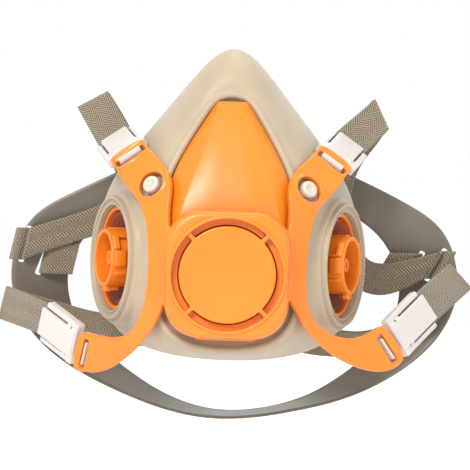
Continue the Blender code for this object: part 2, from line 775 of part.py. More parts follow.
def buckle_mesh():
    """One buckle about its own bar, shared by the four corners."""
    body = box(
        "buckle_body", (-BUCKLE_HALF_WIDTH, BUCKLE_START, BUCKLE_BACK),
        (BUCKLE_HALF_WIDTH, BUCKLE_END, BUCKLE_FRONT), WHITE,
    )
    channel = box(
        "buckle_channel", (-CHANNEL_HALF_WIDTH, CHANNEL_START, CHANNEL_BACK),
        (CHANNEL_HALF_WIDTH, BUCKLE_END + 2.0, CHANNEL_FRONT),
    )
    join(body, channel, "DIFFERENCE")
    for sign in (-1.0, 1.0):
        near = sign * TONGUE_HALF_WIDTH
        far = sign * (TONGUE_HALF_WIDTH + 0.4)
        name = "low" if sign < 0 else "high"
        slit = box(
            f"buckle_slit_{name}", (min(near, far), CHANNEL_START, CHANNEL_BACK + 0.5),
            (max(near, far), BUCKLE_END + 2.0, BUCKLE_FRONT + 2.0),
        )
        join(body, slit, "DIFFERENCE")
    hook = prism("buckle_hook", hook_outline(), -HOOK_HALF_WIDTH, HOOK_HALF_WIDTH)
    hook.matrix_world = Matrix(((0, 0, 1, 0), (1, 0, 0, 0), (0, 1, 0, 0), (0, 0, 0, 1)))
    join(body, hook, "UNION")
    return bake(body)


def buckle_matrix(name):
    """Placement of a buckle on its tab: x along the bar, y along the strap, z out of the face."""
    pivot, across, _ = tab_frame(name)
    along = Vector(BUCKLE_DIRECTIONS[name])
    along = (along - across * along.dot(across)).normalized()
    bar = across if across.cross(along).y < 0.0 else -across
    return axes_matrix(pivot, bar, along)


def make_buckles():
    mesh = buckle_mesh()
    for name in BUCKLE_DIRECTIONS:
        item = add_object(f"{name}_buckle", mesh, None)
        item.matrix_world = buckle_matrix(name)


def make_front_strap(name):
    """The strap from inside its buckle to its fold; it swings with the buckle."""
    place = buckle_matrix(name)
    middle = (CHANNEL_BACK + CHANNEL_FRONT) / 2
    stations = []
    bar = place.to_3x3() @ Vector((STRAP_HALF_WIDTH, 0.0, 0.0))
    for reach in (CHANNEL_START + 1.0, 19.0, BUCKLE_END, BUCKLE_END + 3.0):
        centre = (place @ mm((0.0, reach, middle))) / MM
        stations.append((centre, bar))
    fold, half_width = STRAP_FOLDS[name]
    half_width = Vector(half_width)
    if half_width.dot(bar) < 0.0:
        half_width = -half_width
    last = stations[-1][0]
    stations.append((last.lerp(Vector(fold), 0.5), bar.lerp(half_width, 0.5)))
    stations.append((Vector(fold), half_width))
    ribbon(f"{name}_strap_front", stations, STRAP_THICKNESS, WEBBING)


def make_rear_strap(name):
    ribbon(f"{name}_strap_rear", REAR_STRAPS[name], STRAP_THICKNESS, WEBBING)


def make_cradle():
    item = ribbon("head_cradle", CRADLE_BAND, CRADLE_THICKNESS, GREY, closed=True)
    for side, slots in CRADLE_SLOTS.items():
        for number, (centre, along) in enumerate(slots):
            half = CRADLE_SLOT_LENGTH / 2
            width = CRADLE_SLOT_WIDTH / 2
            slot = box(f"{side}_cradle_slot_{number}", (-half, -width, -5.0), (half, width, 5.0))
            slot.matrix_world = axes_matrix(centre, along, (1.0, 0.0, 0.0))
            join(item, slot, "DIFFERENCE")


def clasp_plate(name, inner_x, outer_x, window_low, window_high):
    """A clasp plate with a window for the strap."""
    half = CLASP_HEIGHT / 2
    plate = box(name, (inner_x, -half, -CLASP_WALL / 2), (outer_x, half, CLASP_WALL / 2), CREAM)
    window = box(
        f"{name}_window", (window_low, -half + CLASP_SIDE_BAR, -4.0),
        (window_high, half - CLASP_SIDE_BAR, 4.0),
    )
    join(plate, window, "DIFFERENCE")
    return plate


def make_neck_clasp():
    """The hook stays on the left strap; the eye swings about the hook's bar."""
    place = axes_matrix((0.0, CLASP_Y, CLASP_Z), (1.0, 0.0, 0.0), (0.0, 0.0, 1.0))
    half = CLASP_HEIGHT / 2
    outer_bar = CLASP_LENGTH + 1.0
    hook = clasp_plate("neck_hook", -outer_bar, HOOK_PLATE_END, -CLASP_LENGTH, -CLASP_WINDOW_START)
    finger = prism("hook_finger", hook_finger_outline(), -FINGER_HALF_WIDTH, FINGER_HALF_WIDTH)
    finger.matrix_world = Matrix.Rotation(math.pi / 2, 4, "X")
    join(hook, finger, "UNION")
    eye = clasp_plate("neck_eye", EYE_PLATE_END, outer_bar, CLASP_WINDOW_START, CLASP_LENGTH)
    reach = half - EYE_HOLE_MARGIN
    window = box("eye_window", (EYE_HOLE[0], -reach, -4.0), (EYE_HOLE[1], reach, 4.0))
    join(eye, window, "DIFFERENCE")
    for item in (hook, eye):
        for step in item.modifiers:
            step.object.matrix_world = place @ step.object.matrix_world
        item.matrix_world = place
    smooth(hook)
    smooth(eye)


def hook_finger_outline():
    """Top view of the finger that curls round the eye's bar: (x, -depth) pairs."""
    outer = FINGER_OUTER_RADIUS
    inner = FINGER_INNER_RADIUS
    steps = 10
    angles = [math.radians(165.0 + 235.0 * step / steps) for step in range(steps + 1)]
    far = [(outer * math.cos(a), outer * math.sin(a)) for a in angles]
    near = [(inner * math.cos(a), inner * math.sin(a)) for a in reversed(angles)]
    return far + near


def build():
    make_facepiece()
    make_nose_shell()
    make_exhalation_valve()
    for side in ("left", "right"):
        make_port(side)
        make_stud(side)
    make_yoke()
    make_buckles()
    for name in BUCKLE_DIRECTIONS:
        make_front_strap(name)
        make_rear_strap(name)
    make_cradle()
    make_neck_clasp()


build()
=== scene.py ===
"""Looks of a half-mask respirator: fine meshes and procedural materials for each of its pieces."""

import json
import math

import bmesh
import bpy
from mathutils import Matrix, Vector


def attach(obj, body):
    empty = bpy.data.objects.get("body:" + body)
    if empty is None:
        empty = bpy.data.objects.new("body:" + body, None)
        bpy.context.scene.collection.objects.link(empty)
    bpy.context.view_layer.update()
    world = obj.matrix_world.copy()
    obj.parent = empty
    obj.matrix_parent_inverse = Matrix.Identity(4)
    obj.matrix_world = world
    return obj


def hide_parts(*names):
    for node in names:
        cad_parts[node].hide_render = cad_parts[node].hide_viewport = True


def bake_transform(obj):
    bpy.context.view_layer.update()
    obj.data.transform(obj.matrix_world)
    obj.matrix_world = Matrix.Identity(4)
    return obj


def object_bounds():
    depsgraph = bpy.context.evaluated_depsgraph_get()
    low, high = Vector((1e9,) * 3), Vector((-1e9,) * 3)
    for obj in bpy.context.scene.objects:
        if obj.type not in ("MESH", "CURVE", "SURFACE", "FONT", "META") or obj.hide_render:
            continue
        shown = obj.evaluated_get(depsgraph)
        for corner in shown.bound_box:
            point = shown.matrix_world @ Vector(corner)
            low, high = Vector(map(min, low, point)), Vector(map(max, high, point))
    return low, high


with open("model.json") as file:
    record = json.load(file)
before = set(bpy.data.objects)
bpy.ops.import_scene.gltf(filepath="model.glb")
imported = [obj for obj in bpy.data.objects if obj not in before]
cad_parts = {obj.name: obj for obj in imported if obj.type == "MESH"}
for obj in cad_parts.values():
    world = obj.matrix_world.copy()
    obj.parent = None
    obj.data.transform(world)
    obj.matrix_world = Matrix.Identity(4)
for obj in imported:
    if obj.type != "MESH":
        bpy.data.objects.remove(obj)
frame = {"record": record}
CAD_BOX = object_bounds()

# Lengths below are millimetres, with Y towards the wearer and Z up; MM turns them into metres
MM = 0.001
UP = Vector((0.0, 0.0, 1.0))
SIDES = ("left", "right")
JOINTS = {joint["name"]: joint for joint in frame["record"]["behaviour"]["joints"]}

# Camera and light
CAMERA_PLACE = (0.0, -800.0, -13.0)
CAMERA_LENS = 143.0
CAMERA_ROLL = 1.9
CAMERA_SHIFT = 0.0136
FLOOR_DROP = 26.0
FLOOR_REACH = 4000.0

# Lights: name, place in metres, size, power, colour
LIGHT_TARGET = (0.0, 0.0, -0.01)
LIGHTS = [
    ("key", (-0.32, -0.85, 0.55), 0.3, 8.0, (1.0, 0.98, 0.95)),
    ("fill", (0.75, -0.65, 0.25), 0.6, 0.8, (1.0, 1.0, 1.0)),
    ("top", (0.1, 0.15, 0.9), 0.5, 2.4, (1.0, 1.0, 1.0)),
    ("back", (0.1, 0.9, 0.35), 0.8, 1.6, (1.0, 1.0, 1.0)),
]

# Moulded materials: name, dark tone, light tone, roughness range, grain
MOULDED = {
    "elastomer": ("beige_elastomer", (0.36, 0.288, 0.197), (0.42, 0.338, 0.236), (0.42, 0.56), 0.16),
    "orange_plastic": ("orange_plastic", (0.74, 0.185, 0.008), (0.80, 0.212, 0.013), (0.28, 0.40), 0.10),
    "gasket_rubber": ("gasket_rubber", (0.17, 0.028, 0.010), (0.28, 0.050, 0.018), (0.45, 0.6), 0.25),
    "valve_silicone": ("valve_silicone", (0.68, 0.63, 0.55), (0.76, 0.72, 0.65), (0.35, 0.5), 0.08),
    "cream_plastic": ("cream_plastic", (0.50, 0.455, 0.385), (0.55, 0.505, 0.43), (0.30, 0.42), 0.08),
    "white_plastic": ("white_plastic", (0.53, 0.495, 0.47), (0.57, 0.535, 0.51), (0.26, 0.38), 0.08),
    "grey_plastic": ("grey_brown_plastic", (0.115, 0.095, 0.070), (0.150, 0.127, 0.096), (0.34, 0.48), 0.22),
}
SHADER_EXTRAS = {
    "elastomer": {"Sheen Weight": 0.12},
    "orange_plastic": {"Subsurface Weight": 0.06, "Subsurface Radius": (0.004, 0.0015, 0.0005)},
    "gasket_rubber": {"Specular IOR Level": 0.25},
}
# Texture scales, per metre
TONE_PATCHES = 28.0
GLOSS_PATCHES = 160.0
COARSE_GRAIN = 420.0
FINE_GRAIN = 2600.0

# Facepiece: outlines of half the moulding, from the nose down to the chin
INNER_EDGE = [
    (0.0, -17.0, 41.0), (5.0, -17.2, 40.4), (8.6, -19.2, 35.0), (12.8, -21.5, 27.0),
    (17.6, -23.8, 18.0), (21.6, -26.2, 8.5), (24.0, -28.2, -4.0), (25.0, -29.8, -20.0),
    (25.0, -29.8, -36.0), (23.4, -30.0, -45.5), (17.5, -31.0, -51.5), (9.0, -32.5, -54.0),
    (0.0, -33.0, -54.6),
]
FRONT_EDGE = [
    (0.0, -21.5, 46.4), (7.8, -22.0, 44.6), (12.2, -24.5, 38.0), (17.6, -27.0, 28.9),
    (23.0, -29.0, 19.2), (27.4, -31.0, 9.0), (29.8, -33.0, -4.0), (30.6, -35.0, -20.0),
    (30.6, -35.0, -36.0), (28.6, -34.5, -47.8), (21.5, -35.0, -56.2), (11.0, -37.0, -59.2),
    (0.0, -37.5, -59.8),
]
WIDEST_LINE = [
    (0.0, -10.0, 66.6), (9.2, -8.0, 60.4), (19.2, -3.0, 48.4), (31.0, 3.0, 34.2),
    (43.0, 9.0, 19.8), (51.4, 14.0, 6.5), (55.8, 17.0, -8.0), (56.6, 18.0, -24.0),
    (54.6, 17.0, -40.0), (49.5, 13.0, -52.6), (38.0, 6.0, -60.4), (20.0, 0.0, -64.2),
    (0.0, -3.0, -65.0),
]
WALL_STEPS = [0.0, 0.33, 0.7]
WALL_BULGE = 4.5
FACEPIECE_WALL = 2.2
SEAL_DEPTH = 8.0
SEAL_SCALE_X = 0.74
SEAL_SCALE_Z = 0.80
FACEPIECE_VOXEL = 0.75
FRONT_BEAD_RADIUS = 1.5
SEAL_RIM_RADIUS = 2.0
SEAL_RIM_BACK = 5.0
STEM_HOLE_RADIUS = 2.3

# Cheek ports
PORT_CENTRE = (50.2, -5.0, -24.3)
PORT_TURN = math.radians(68.0)
LIP_RADIUS = 26.0
PORT_BORE_RADIUS = 22.6
PORT_DEPTH = 12.5
CUP_RADIUS = 22.2
CUP_WALL = 1.7
CUP_FLOOR = 2.2
TUBE_RADIUS = 12.3
TUBE_BORE_RADIUS = 10.6
TUBE_REACH = 3.0
LUG_COUNT = 3
LUG_REACH = 2.0
LUG_HALF_WIDTH = 3.2
LUG_THICKNESS = 2.4
GASKET_RISE = 6.3
GASKET_STEPS = 4
FLAP_RADIUS = 12.2
FLAP_THICKNESS = 0.8
FLAP_GAP = 0.3

# Nose shell rows from the top down: height, centre y, (x, y) of ridge and edge
SHELL_WALL = 2.0
SHELL_ROWS = [
    (42.3, -26.0, (5.6, -25.4), (6.4, -23.8)),
    (31.0, -32.0, (8.6, -31.2), (13.3, -27.2)),
    (18.5, -37.5, (12.8, -36.1), (20.6, -30.2)),
    (8.0, -41.0, (16.3, -39.6), (24.6, -32.8)),
    (-3.0, -43.7, (19.8, -42.6), (26.6, -34.8)),
    (-15.0, -43.7, (22.0, -43.5), (27.4, -36.8)),
    (-42.0, -43.7, (22.0, -43.5), (27.0, -36.8)),
    (-50.0, -43.7, (18.5, -43.4), (22.3, -37.6)),
    (-56.0, -41.0, (9.0, -40.7), (11.5, -39.4)),
]

# Exhalation valve and cover
VALVE_CENTRE_Z = -28.5
SEAT_RADIUS = 15.0
SEAT_HOLE_RADIUS = 15.3
SEAT_INNER_RADIUS = 11.8
SEAT_FRONT_Y = -44.2
SEAT_THICKNESS = 2.4
COVER_CENTRE_Z = -28.9
COVER_FRONT_Y = -60.0
COVER_BACK_Y = -44.0
COVER_WALL = 1.8
COVER_CORNER = 14.0
COVER_WIDTH_FRONT = 48.6
COVER_WIDTH_BACK = 50.6
COVER_EXTRA_HEIGHT = 1.6
DISC_RADIUS = 19.4
SLOT_RING_RADIUS = 22.4
SPOKE_WIDTH = 1.6
YOKE_VOXEL = 0.42

# Yoke arms: (inner edge, outer edge) of the front surface, from the upper tab down
ARM_WALL = 2.6
UPPER_ARM = [
    ((38.6, -17.5, 26.6), (51.0, -18.5, 18.0)),
    ((34.0, -23.6, 21.4), (48.0, -21.2, 12.6)),
    ((28.2, -31.0, 16.0), (43.9, -26.2, 6.6)),
    ((24.6, -36.8, 10.6), (40.4, -30.2, 3.0)),
    ((24.4, -40.3, 4.0), (37.4, -33.0, -0.4)),
    ((25.4, -42.0, -4.0), (35.2, -35.0, -5.0)),
    ((24.6, -45.5, -12.5), (33.7, -37.0, -12.0)),
    ((24.0, -46.5, -21.0), (32.8, -38.5, -20.5)),
    ((24.0, -46.5, -29.0), (32.6, -39.0, -29.0)),
    ((24.6, -45.5, -37.5), (33.0, -38.8, -37.0)),
]
LOWER_ARM = {
    "left": [
        ((26.6, -43.5, -44.5), (34.6, -37.0, -45.5)),
        ((30.2, -39.5, -52.2), (37.8, -33.5, -52.6)),
        ((35.0, -34.0, -59.0), (42.6, -29.0, -56.8)),
        ((42.0, -27.0, -66.2), (48.5, -24.0, -57.6)),
        ((51.0, -18.5, -72.6), (54.8, -18.5, -56.8)),
        ((58.8, -12.0, -73.4), (58.8, -14.8, -56.0)),
        ((65.1, -6.9, -70.3), (61.9, -12.5, -55.8)),
    ],
    "right": [
        ((28.2, -42.5, -41.5), (34.0, -37.5, -43.0)),
        ((33.0, -38.5, -49.5), (37.8, -33.5, -48.5)),
        ((40.0, -33.0, -57.0), (43.8, -28.5, -52.6)),
        ((49.5, -26.0, -63.6), (50.5, -22.5, -54.6)),
        ((59.5, -18.0, -67.8), (57.5, -17.5, -54.0)),
        ((69.5, -12.0, -69.3), (62.8, -14.2, -51.0)),
        ((78.0, -8.1, -63.5), (67.0, -12.0, -47.8)),
    ],
}
TAB_BAR = 3.0
TAB_SLOT_WIDTH = 3.2
TAB_SLOT_LENGTH = 13.6
STUD_HOLE_RADIUS = 5.6
STUD_RADIUS = 3.7
STUD_SHOULDER = -3.0
STUD_STEM_RADIUS = 2.0
STUD_STEM_END = -14.0
STUD_STATION = 3
SLOT_RIM_RADIUS = 0.65

# Buckles: local x along the bar, y along the strap, z out of the face
BUCKLE_HALF_WIDTH = 9.4
BUCKLE_START = 4.4
BUCKLE_END = 29.0
BUCKLE_BACK = -3.9
BUCKLE_FRONT = 0.9
CHANNEL_HALF_WIDTH = 8.2
CHANNEL_START = 9.5
CHANNEL_BACK = -2.4
CHANNEL_FRONT = -0.6
TONGUE_HALF_WIDTH = 6.3
HOOK_HALF_WIDTH = 5.2
HOOK_INNER_RADIUS = 2.5
HOOK_OUTER_RADIUS = 3.8
HOOK_ARC = (-50.0, -200.0)
BUCKLE_VOXEL = 0.32
WING_DROP = 0.7
SLIT_WIDTH = 0.75
BUCKLE_DIRECTIONS = {
    "left_upper": (-0.36, 0.90, 0.22),
    "right_upper": (0.38, 0.89, 0.24),
    "left_lower": (-0.64, 0.63, 0.41),
    "right_lower": (0.58, 0.57, 0.58),
}

# Straps: (centre, half width vector); the weave starts at its own length on each stretch
STRAP_THICKNESS = 1.1
WEAVE_COLUMN = 3.9
WEAVE_PITCH = 1.35
WARP_PITCH = 0.65
REAR_WEAVE_START = 60.0
THREAD_WEAVE_START = 170.0
THREAD_WEAVE_STEP = 20.0
LOOP_WEAVE_START = 240.0
STRAP_HALF_WIDTH = 7.8
STRAP_FOLDS = {
    "left_upper": ((-61.0, 20.0, 43.5), (6.6, -0.5, 3.7)),
    "right_upper": ((64.7, 20.0, 41.3), (3.2, -1.0, -6.7)),
    "left_lower": ((-98.0, 30.0, -46.6), (1.7, -0.6, 7.3)),
    "right_lower": ((102.6, 30.0, -28.8), (5.2, 0.4, -5.4)),
}
REAR_STRAPS = {
    "left_upper": [
        ((-60.5, 22.6, 43.2), (6.6, -0.5, 3.7)),
        ((-54.0, 28.0, 34.0), (6.7, 1.0, 3.2)),
        ((-46.0, 35.5, 20.0), (7.2, 1.5, 1.5)),
        ((-43.0, 41.0, 8.0), (7.2, 1.5, -1.5)),
        ((-47.0, 44.5, -1.5), (4.5, 1.0, -5.9)),
        ((-58.0, 46.5, -8.0), (-1.6, 0.5, -7.3)),
        ((-72.0, 47.2, -12.8), (-2.6, 0.4, -7.0)),
        ((-90.5, 46.8, -19.5), (-1.6, 0.4, -7.3)),
    ],
    "right_upper": [
        ((64.0, 22.6, 41.0), (3.2, -1.0, -6.7)),
        ((58.5, 28.0, 33.5), (5.2, -1.6, -5.2)),
        ((50.5, 34.5, 23.0), (6.6, -1.6, -3.2)),
        ((46.5, 39.5, 9.0), (7.3, -0.8, -1.2)),
        ((47.0, 43.0, -8.0), (7.3, 0.0, 1.2)),
        ((54.0, 45.5, -24.0), (5.4, 0.5, 5.2)),
        ((66.0, 46.6, -32.5), (0.6, 0.6, 7.4)),
        ((80.0, 46.8, -29.0), (1.5, 0.2, 7.2)),
        ((92.0, 46.5, -24.0), (3.6, 0.0, 6.4)),
    ],
    "left_lower": [
        ((-97.6, 33.2, -46.8), (1.7, -0.6, 7.3)),
        ((-88.0, 37.5, -50.0), (1.9, -0.4, 7.2)),
        ((-74.0, 41.5, -53.6), (2.0, 0.0, 7.2)),
        ((-60.0, 44.0, -57.6), (1.4, 0.0, 7.4)),
        ((-44.0, 46.0, -58.0), (-0.4, 0.0, 7.5)),
        ((-26.0, 47.5, -55.8), (-0.5, 0.0, 7.5)),
        ((-11.5, 48.0, -55.0), (0.0, 0.0, 7.5)),
    ],
    "right_lower": [
        ((102.0, 33.2, -29.2), (5.2, 0.4, -5.4)),
        ((91.0, 38.5, -42.5), (4.6, 1.8, -5.4)),
        ((77.0, 42.0, -55.0), (2.6, 5.6, -4.2)),
        ((61.0, 44.0, -61.0), (1.2, 5.2, -5.2)),
        ((44.0, 46.0, -60.0), (0.6, 2.0, -7.2)),
        ((26.0, 47.5, -56.6), (0.6, 0.4, -7.4)),
        ((11.5, 48.0, -55.0), (0.0, 0.0, -7.5)),
    ],
}

# Head cradle: a closed band of (centre, half width vector), from the top middle down the right side
CRADLE_THICKNESS = 1.7
CRADLE_COLUMNS = 14
CRADLE_BAND = [
    ((0.0, 54.0, 22.0), (0.0, 1.0, 7.4)),
    ((30.0, 54.0, 18.5), (1.5, 0.5, 7.3)),
    ((56.0, 53.5, 7.5), (3.4, 0.0, 7.0)),
    ((75.0, 53.0, -3.0), (5.5, -1.0, 7.5)),
    ((87.5, 53.5, -14.0), (11.5, -2.5, 8.0)),
    ((92.5, 54.0, -28.0), (13.5, -3.5, 1.5)),
    ((92.0, 54.5, -43.0), (12.5, -4.5, -2.5)),
    ((84.0, 55.5, -59.0), (8.0, -5.5, -5.5)),
    ((67.0, 57.0, -74.5), (4.5, -6.0, -4.5)),
    ((50.0, 58.5, -84.3), (2.4, -6.7, -3.0)),
    ((36.0, 59.5, -89.8), (1.0, -7.3, -1.2)),
    ((17.0, 60.0, -94.6), (0.4, -7.4, -0.8)),
    ((0.0, 60.0, -96.0), (0.0, -7.5, -0.9)),
    ((-15.0, 60.0, -94.5), (-0.5, -7.4, -1.5)),
    ((-33.0, 59.5, -88.7), (-1.5, -7.0, -2.6)),
    ((-50.0, 58.5, -79.6), (-3.0, -6.5, -4.4)),
    ((-67.0, 57.0, -69.5), (-5.5, -6.0, -5.2)),
    ((-80.0, 55.5, -56.0), (-9.2, -5.5, -5.0)),
    ((-86.0, 54.5, -41.0), (-12.6, -4.5, -2.0)),
    ((-86.0, 54.0, -27.0), (-13.0, -3.5, 3.0)),
    ((-80.0, 53.5, -14.0), (-10.0, -2.5, 8.5)),
    ((-68.0, 53.0, -4.0), (-5.0, -1.0, 7.6)),
    ((-52.0, 53.5, 5.5), (-3.4, 0.0, 7.0)),
    ((-28.0, 54.0, 18.0), (-1.5, 0.5, 7.3)),
]
CRADLE_SLOTS = {
    "left": [((-92.6, 53.0, -20.0), (-1.6, 0.4, -7.3)), ((-84.0, 53.0, -26.0), (-2.6, 0.4, -7.0))],
    "right": [((95.0, 53.0, -23.5), (3.6, 0.0, 6.4)), ((85.0, 53.0, -25.0), (3.6, 0.0, 6.4))],
}
CRADLE_SLOT_LENGTH = 17.0
CRADLE_SLOT_WIDTH = 2.6
THREAD_BEHIND = 3.2
THREAD_BEFORE = 2.6
TAIL_LENGTH = 15.0

# Neck clasp
CLASP_PLACE = (0.0, 48.0, -55.0)
CLASP_HEIGHT = 19.0
CLASP_WALL = 1.8
CLASP_LENGTH = 9.0
CLASP_WINDOW_START = 5.4
CLASP_SIDE_BAR = 1.6
HOOK_PLATE_END = -2.4
EYE_PLATE_END = -1.2
EYE_HOLE = (1.2, 3.8)
EYE_HOLE_MARGIN = 4.0
FINGER_INNER_RADIUS = 2.0
FINGER_OUTER_RADIUS = 3.4
FINGER_HALF_WIDTH = 3.0
FINGER_ARC = (165.0, 400.0)
LOOP_RADII = (1.25, 1.75)
LOOP_HALF_WIDTH = 7.5


def mm(point):
    """Millimetres to metres."""
    return Vector(point) * MM


def side_sign(side):
    return -1.0 if side.startswith("left") else 1.0


def mirrored(point, side):
    """A point given for the right side, moved to the side asked for."""
    return Vector((point[0] * side_sign(side), point[1], point[2]))


def axes_matrix(origin, x_axis, y_axis):
    """Placement in metres whose axes are x_axis, y_axis made square to it, and their cross."""
    x_dir = Vector(x_axis).normalized()
    y_dir = Vector(y_axis) - x_dir * Vector(y_axis).dot(x_dir)
    y_dir.normalize()
    z_dir = x_dir.cross(y_dir)
    turn = Matrix((x_dir, y_dir, z_dir)).transposed().to_4x4()
    return Matrix.Translation(mm(origin)) @ turn


# ---------------------------------------------------------------- materials


def new_material(name, colour, roughness):
    """A Principled material; returns it with its node tree and shader."""
    material = bpy.data.materials.new(name)
    material.use_nodes = True
    tree = material.node_tree
    shader = tree.nodes["Principled BSDF"]
    shader.inputs["Base Color"].default_value = (*colour, 1.0)
    shader.inputs["Roughness"].default_value = roughness
    return material, tree, shader


def noise(tree, scale, detail, coordinates=None):
    node = tree.nodes.new("ShaderNodeTexNoise")
    node.inputs["Scale"].default_value = scale
    node.inputs["Detail"].default_value = detail
    if coordinates is None:
        coordinates = tree.nodes.new("ShaderNodeTexCoord").outputs["Object"]
    tree.links.new(coordinates, node.inputs["Vector"])
    return node.outputs["Fac"]


def ramp(tree, factor, stops):
    """Colour ramp: stops are (position, colour)."""
    node = tree.nodes.new("ShaderNodeValToRGB")
    elements = node.color_ramp.elements
    while len(elements) < len(stops):
        elements.new(0.5)
    for element, (position, colour) in zip(elements, stops):
        element.position = position
        element.color = (*colour, 1.0)
    tree.links.new(factor, node.inputs["Fac"])
    return node.outputs["Color"]


def spread(tree, factor, low, high):
    """Map a 0 to 1 value to low to high."""
    node = tree.nodes.new("ShaderNodeMapRange")
    node.inputs["To Min"].default_value = low
    node.inputs["To Max"].default_value = high
    tree.links.new(factor, node.inputs["Value"])
    return node.outputs["Result"]


def bump(tree, height, strength, distance, normal=None):
    node = tree.nodes.new("ShaderNodeBump")
    node.inputs["Strength"].default_value = strength
    node.inputs["Distance"].default_value = distance
    tree.links.new(height, node.inputs["Height"])
    if normal:
        tree.links.new(normal, node.inputs["Normal"])
    return node.outputs["Normal"]


def arithmetic(tree, operation, first, second):
    node = tree.nodes.new("ShaderNodeMath")
    node.operation = operation
    for socket, value in zip(node.inputs, (first, second)):
        if isinstance(value, float):
            socket.default_value = value
        else:
            tree.links.new(value, socket)
    return node.outputs[0]


def moulded(name, dark, light, roughness, grain):
    """Moulded plastic or rubber: soft patches of tone, a fine grain and a slightly uneven gloss."""
    material, tree, shader = new_material(name, light, sum(roughness) / 2)
    patches = noise(tree, TONE_PATCHES, 3.0)
    tree.links.new(ramp(tree, patches, [(0.3, dark), (0.7, light)]), shader.inputs["Base Color"])
    gloss = spread(tree, noise(tree, GLOSS_PATCHES, 2.0), *roughness)
    tree.links.new(gloss, shader.inputs["Roughness"])
    fine = noise(tree, FINE_GRAIN, 2.0)
    coarse = noise(tree, COARSE_GRAIN, 3.0)
    normal = bump(tree, coarse, grain * 0.6, 0.0002)
    tree.links.new(bump(tree, fine, grain, 0.0001, normal), shader.inputs["Normal"])
    return material, shader


def wave(tree, value, pitch):
    """A sine wave that repeats every pitch."""
    phase = arithmetic(tree, "MULTIPLY", value, 2.0 * math.pi / pitch)
    return arithmetic(tree, "SINE", phase, 0.0)


def webbing_material():
    """Herringbone woven elastic, laid out by the strap's own length and width."""
    material, tree, shader = new_material("khaki_webbing", (0.26, 0.19, 0.115), 0.85)
    laid = tree.nodes.new("ShaderNodeAttribute")
    laid.attribute_name = "weave"
    split = tree.nodes.new("ShaderNodeSeparateXYZ")
    tree.links.new(laid.outputs["Vector"], split.inputs["Vector"])
    across = split.outputs["X"]
    along = split.outputs["Y"]
    zigzag = arithmetic(tree, "PINGPONG", across, WEAVE_COLUMN)
    ribs = wave(tree, arithmetic(tree, "ADD", zigzag, along), WEAVE_PITCH)
    warp = wave(tree, across, WARP_PITCH)
    height = arithmetic(tree, "ADD", ribs, arithmetic(tree, "MULTIPLY", warp, 0.35))
    fuzz = noise(tree, 3.2, 4.0, laid.outputs["Vector"])
    # Colour follows the weave's relief plus a random fuzz: the herringbone pattern, drawn with painted shade
    # in the rib grooves and painted highlight on the rib crests
    tone = arithmetic(tree, "ADD", arithmetic(tree, "MULTIPLY", height, 0.27), fuzz)
    colour = ramp(tree, tone, [
        (0.2, (0.070, 0.050, 0.030)), (0.5, (0.205, 0.155, 0.098)), (0.8, (0.40, 0.325, 0.225)),
    ])
    tree.links.new(colour, shader.inputs["Base Color"])
    normal = bump(tree, fuzz, 0.35, 0.0003)
    tree.links.new(bump(tree, height, 0.75, 0.00028, normal), shader.inputs["Normal"])
    shader.inputs["Sheen Weight"].default_value = 0.25
    shader.inputs["Sheen Roughness"].default_value = 0.5
    return material


def make_materials():
    made = {}
    for slot, look in MOULDED.items():
        made[slot], shader = moulded(*look)
        for socket, value in SHADER_EXTRAS.get(slot, {}).items():
            shader.inputs[socket].default_value = value
    made["webbing"] = webbing_material()
    return made


MATERIALS = make_materials()


# ---------------------------------------------------------------- mesh tools


def add_object(name, mesh, slot=None):
    item = bpy.data.objects.new(name, mesh)
    bpy.context.scene.collection.objects.link(item)
    if slot:
        mesh.materials.clear()
        mesh.materials.append(MATERIALS[slot])
    return item


def mesh_of(name, shape):
    """The mesh of a bmesh, which is freed."""
    mesh = bpy.data.meshes.new(name)
    shape.to_mesh(mesh)
    shape.free()
    return mesh


def mesh_from(name, build):
    """A mesh made by a function that fills a bmesh, with its faces pointing out."""
    shape = bmesh.new()
    build(shape)
    bmesh.ops.recalc_face_normals(shape, faces=shape.faces)
    return mesh_of(name, shape)


def evaluated_mesh(item):
    """The mesh an object shows, in its own space."""
    bpy.context.view_layer.update()
    evaluated = item.evaluated_get(bpy.context.evaluated_depsgraph_get())
    return bpy.data.meshes.new_from_object(evaluated)


def finished_mesh(item):
    """The mesh an object shows, in world space; the object is removed."""
    mesh = evaluated_mesh(item)
    mesh.transform(item.matrix_world)
    bpy.data.objects.remove(item, do_unlink=True)
    return mesh


def baked(name, item):
    """The same shape as a plain object, with its modifiers and placement applied."""
    return add_object(name, finished_mesh(item))


def put(item, place):
    """The same object, moved to a placement."""
    item.matrix_world = place
    return item


def merged(name, items, slot=None):
    """One object from several, with their modifiers applied."""
    shape = bmesh.new()
    for item in items:
        mesh = finished_mesh(item)
        shape.from_mesh(mesh)
        bpy.data.meshes.remove(mesh)
    return add_object(name, mesh_of(name, shape), slot)


def cut(item, cutters):
    """Take cutters away from an object."""
    for cutter in cutters:
        step = item.modifiers.new("cut", "BOOLEAN")
        step.operation = "DIFFERENCE"
        step.solver = "MANIFOLD"
        step.object = cutter
    mesh = evaluated_mesh(item)
    item.modifiers.clear()
    item.data = mesh
    for cutter in cutters:
        bpy.data.objects.remove(cutter, do_unlink=True)


def melt(item, voxel, rounds):
    """Join overlapping solids into one skin with small soft fillets."""
    step = item.modifiers.new("skin", "REMESH")
    step.mode = "VOXEL"
    step.voxel_size = voxel * MM
    step.use_smooth_shade = True
    soften = item.modifiers.new("soften", "SMOOTH")
    soften.factor = 0.5
    soften.iterations = rounds


def shade(item, angle=40.0):
    item.data.shade_smooth()
    item.data.set_sharp_from_angle(angle=math.radians(angle))


def settle(name, item, slot, body, node, angle=40.0):
    """Name the finished piece, give it its material, attach it to its body and hide the CAD node it
    replaces.
    """
    piece = add_object(name, finished_mesh(item), slot)
    shade(piece, angle)
    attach(piece, body)
    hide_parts(node)


def bridge(shape, ring, next_ring):
    """Quads between two closed rings of vertices."""
    count = len(ring)
    for here in range(count):
        after = (here + 1) % count
        shape.faces.new((ring[here], ring[after], next_ring[after], next_ring[here]))


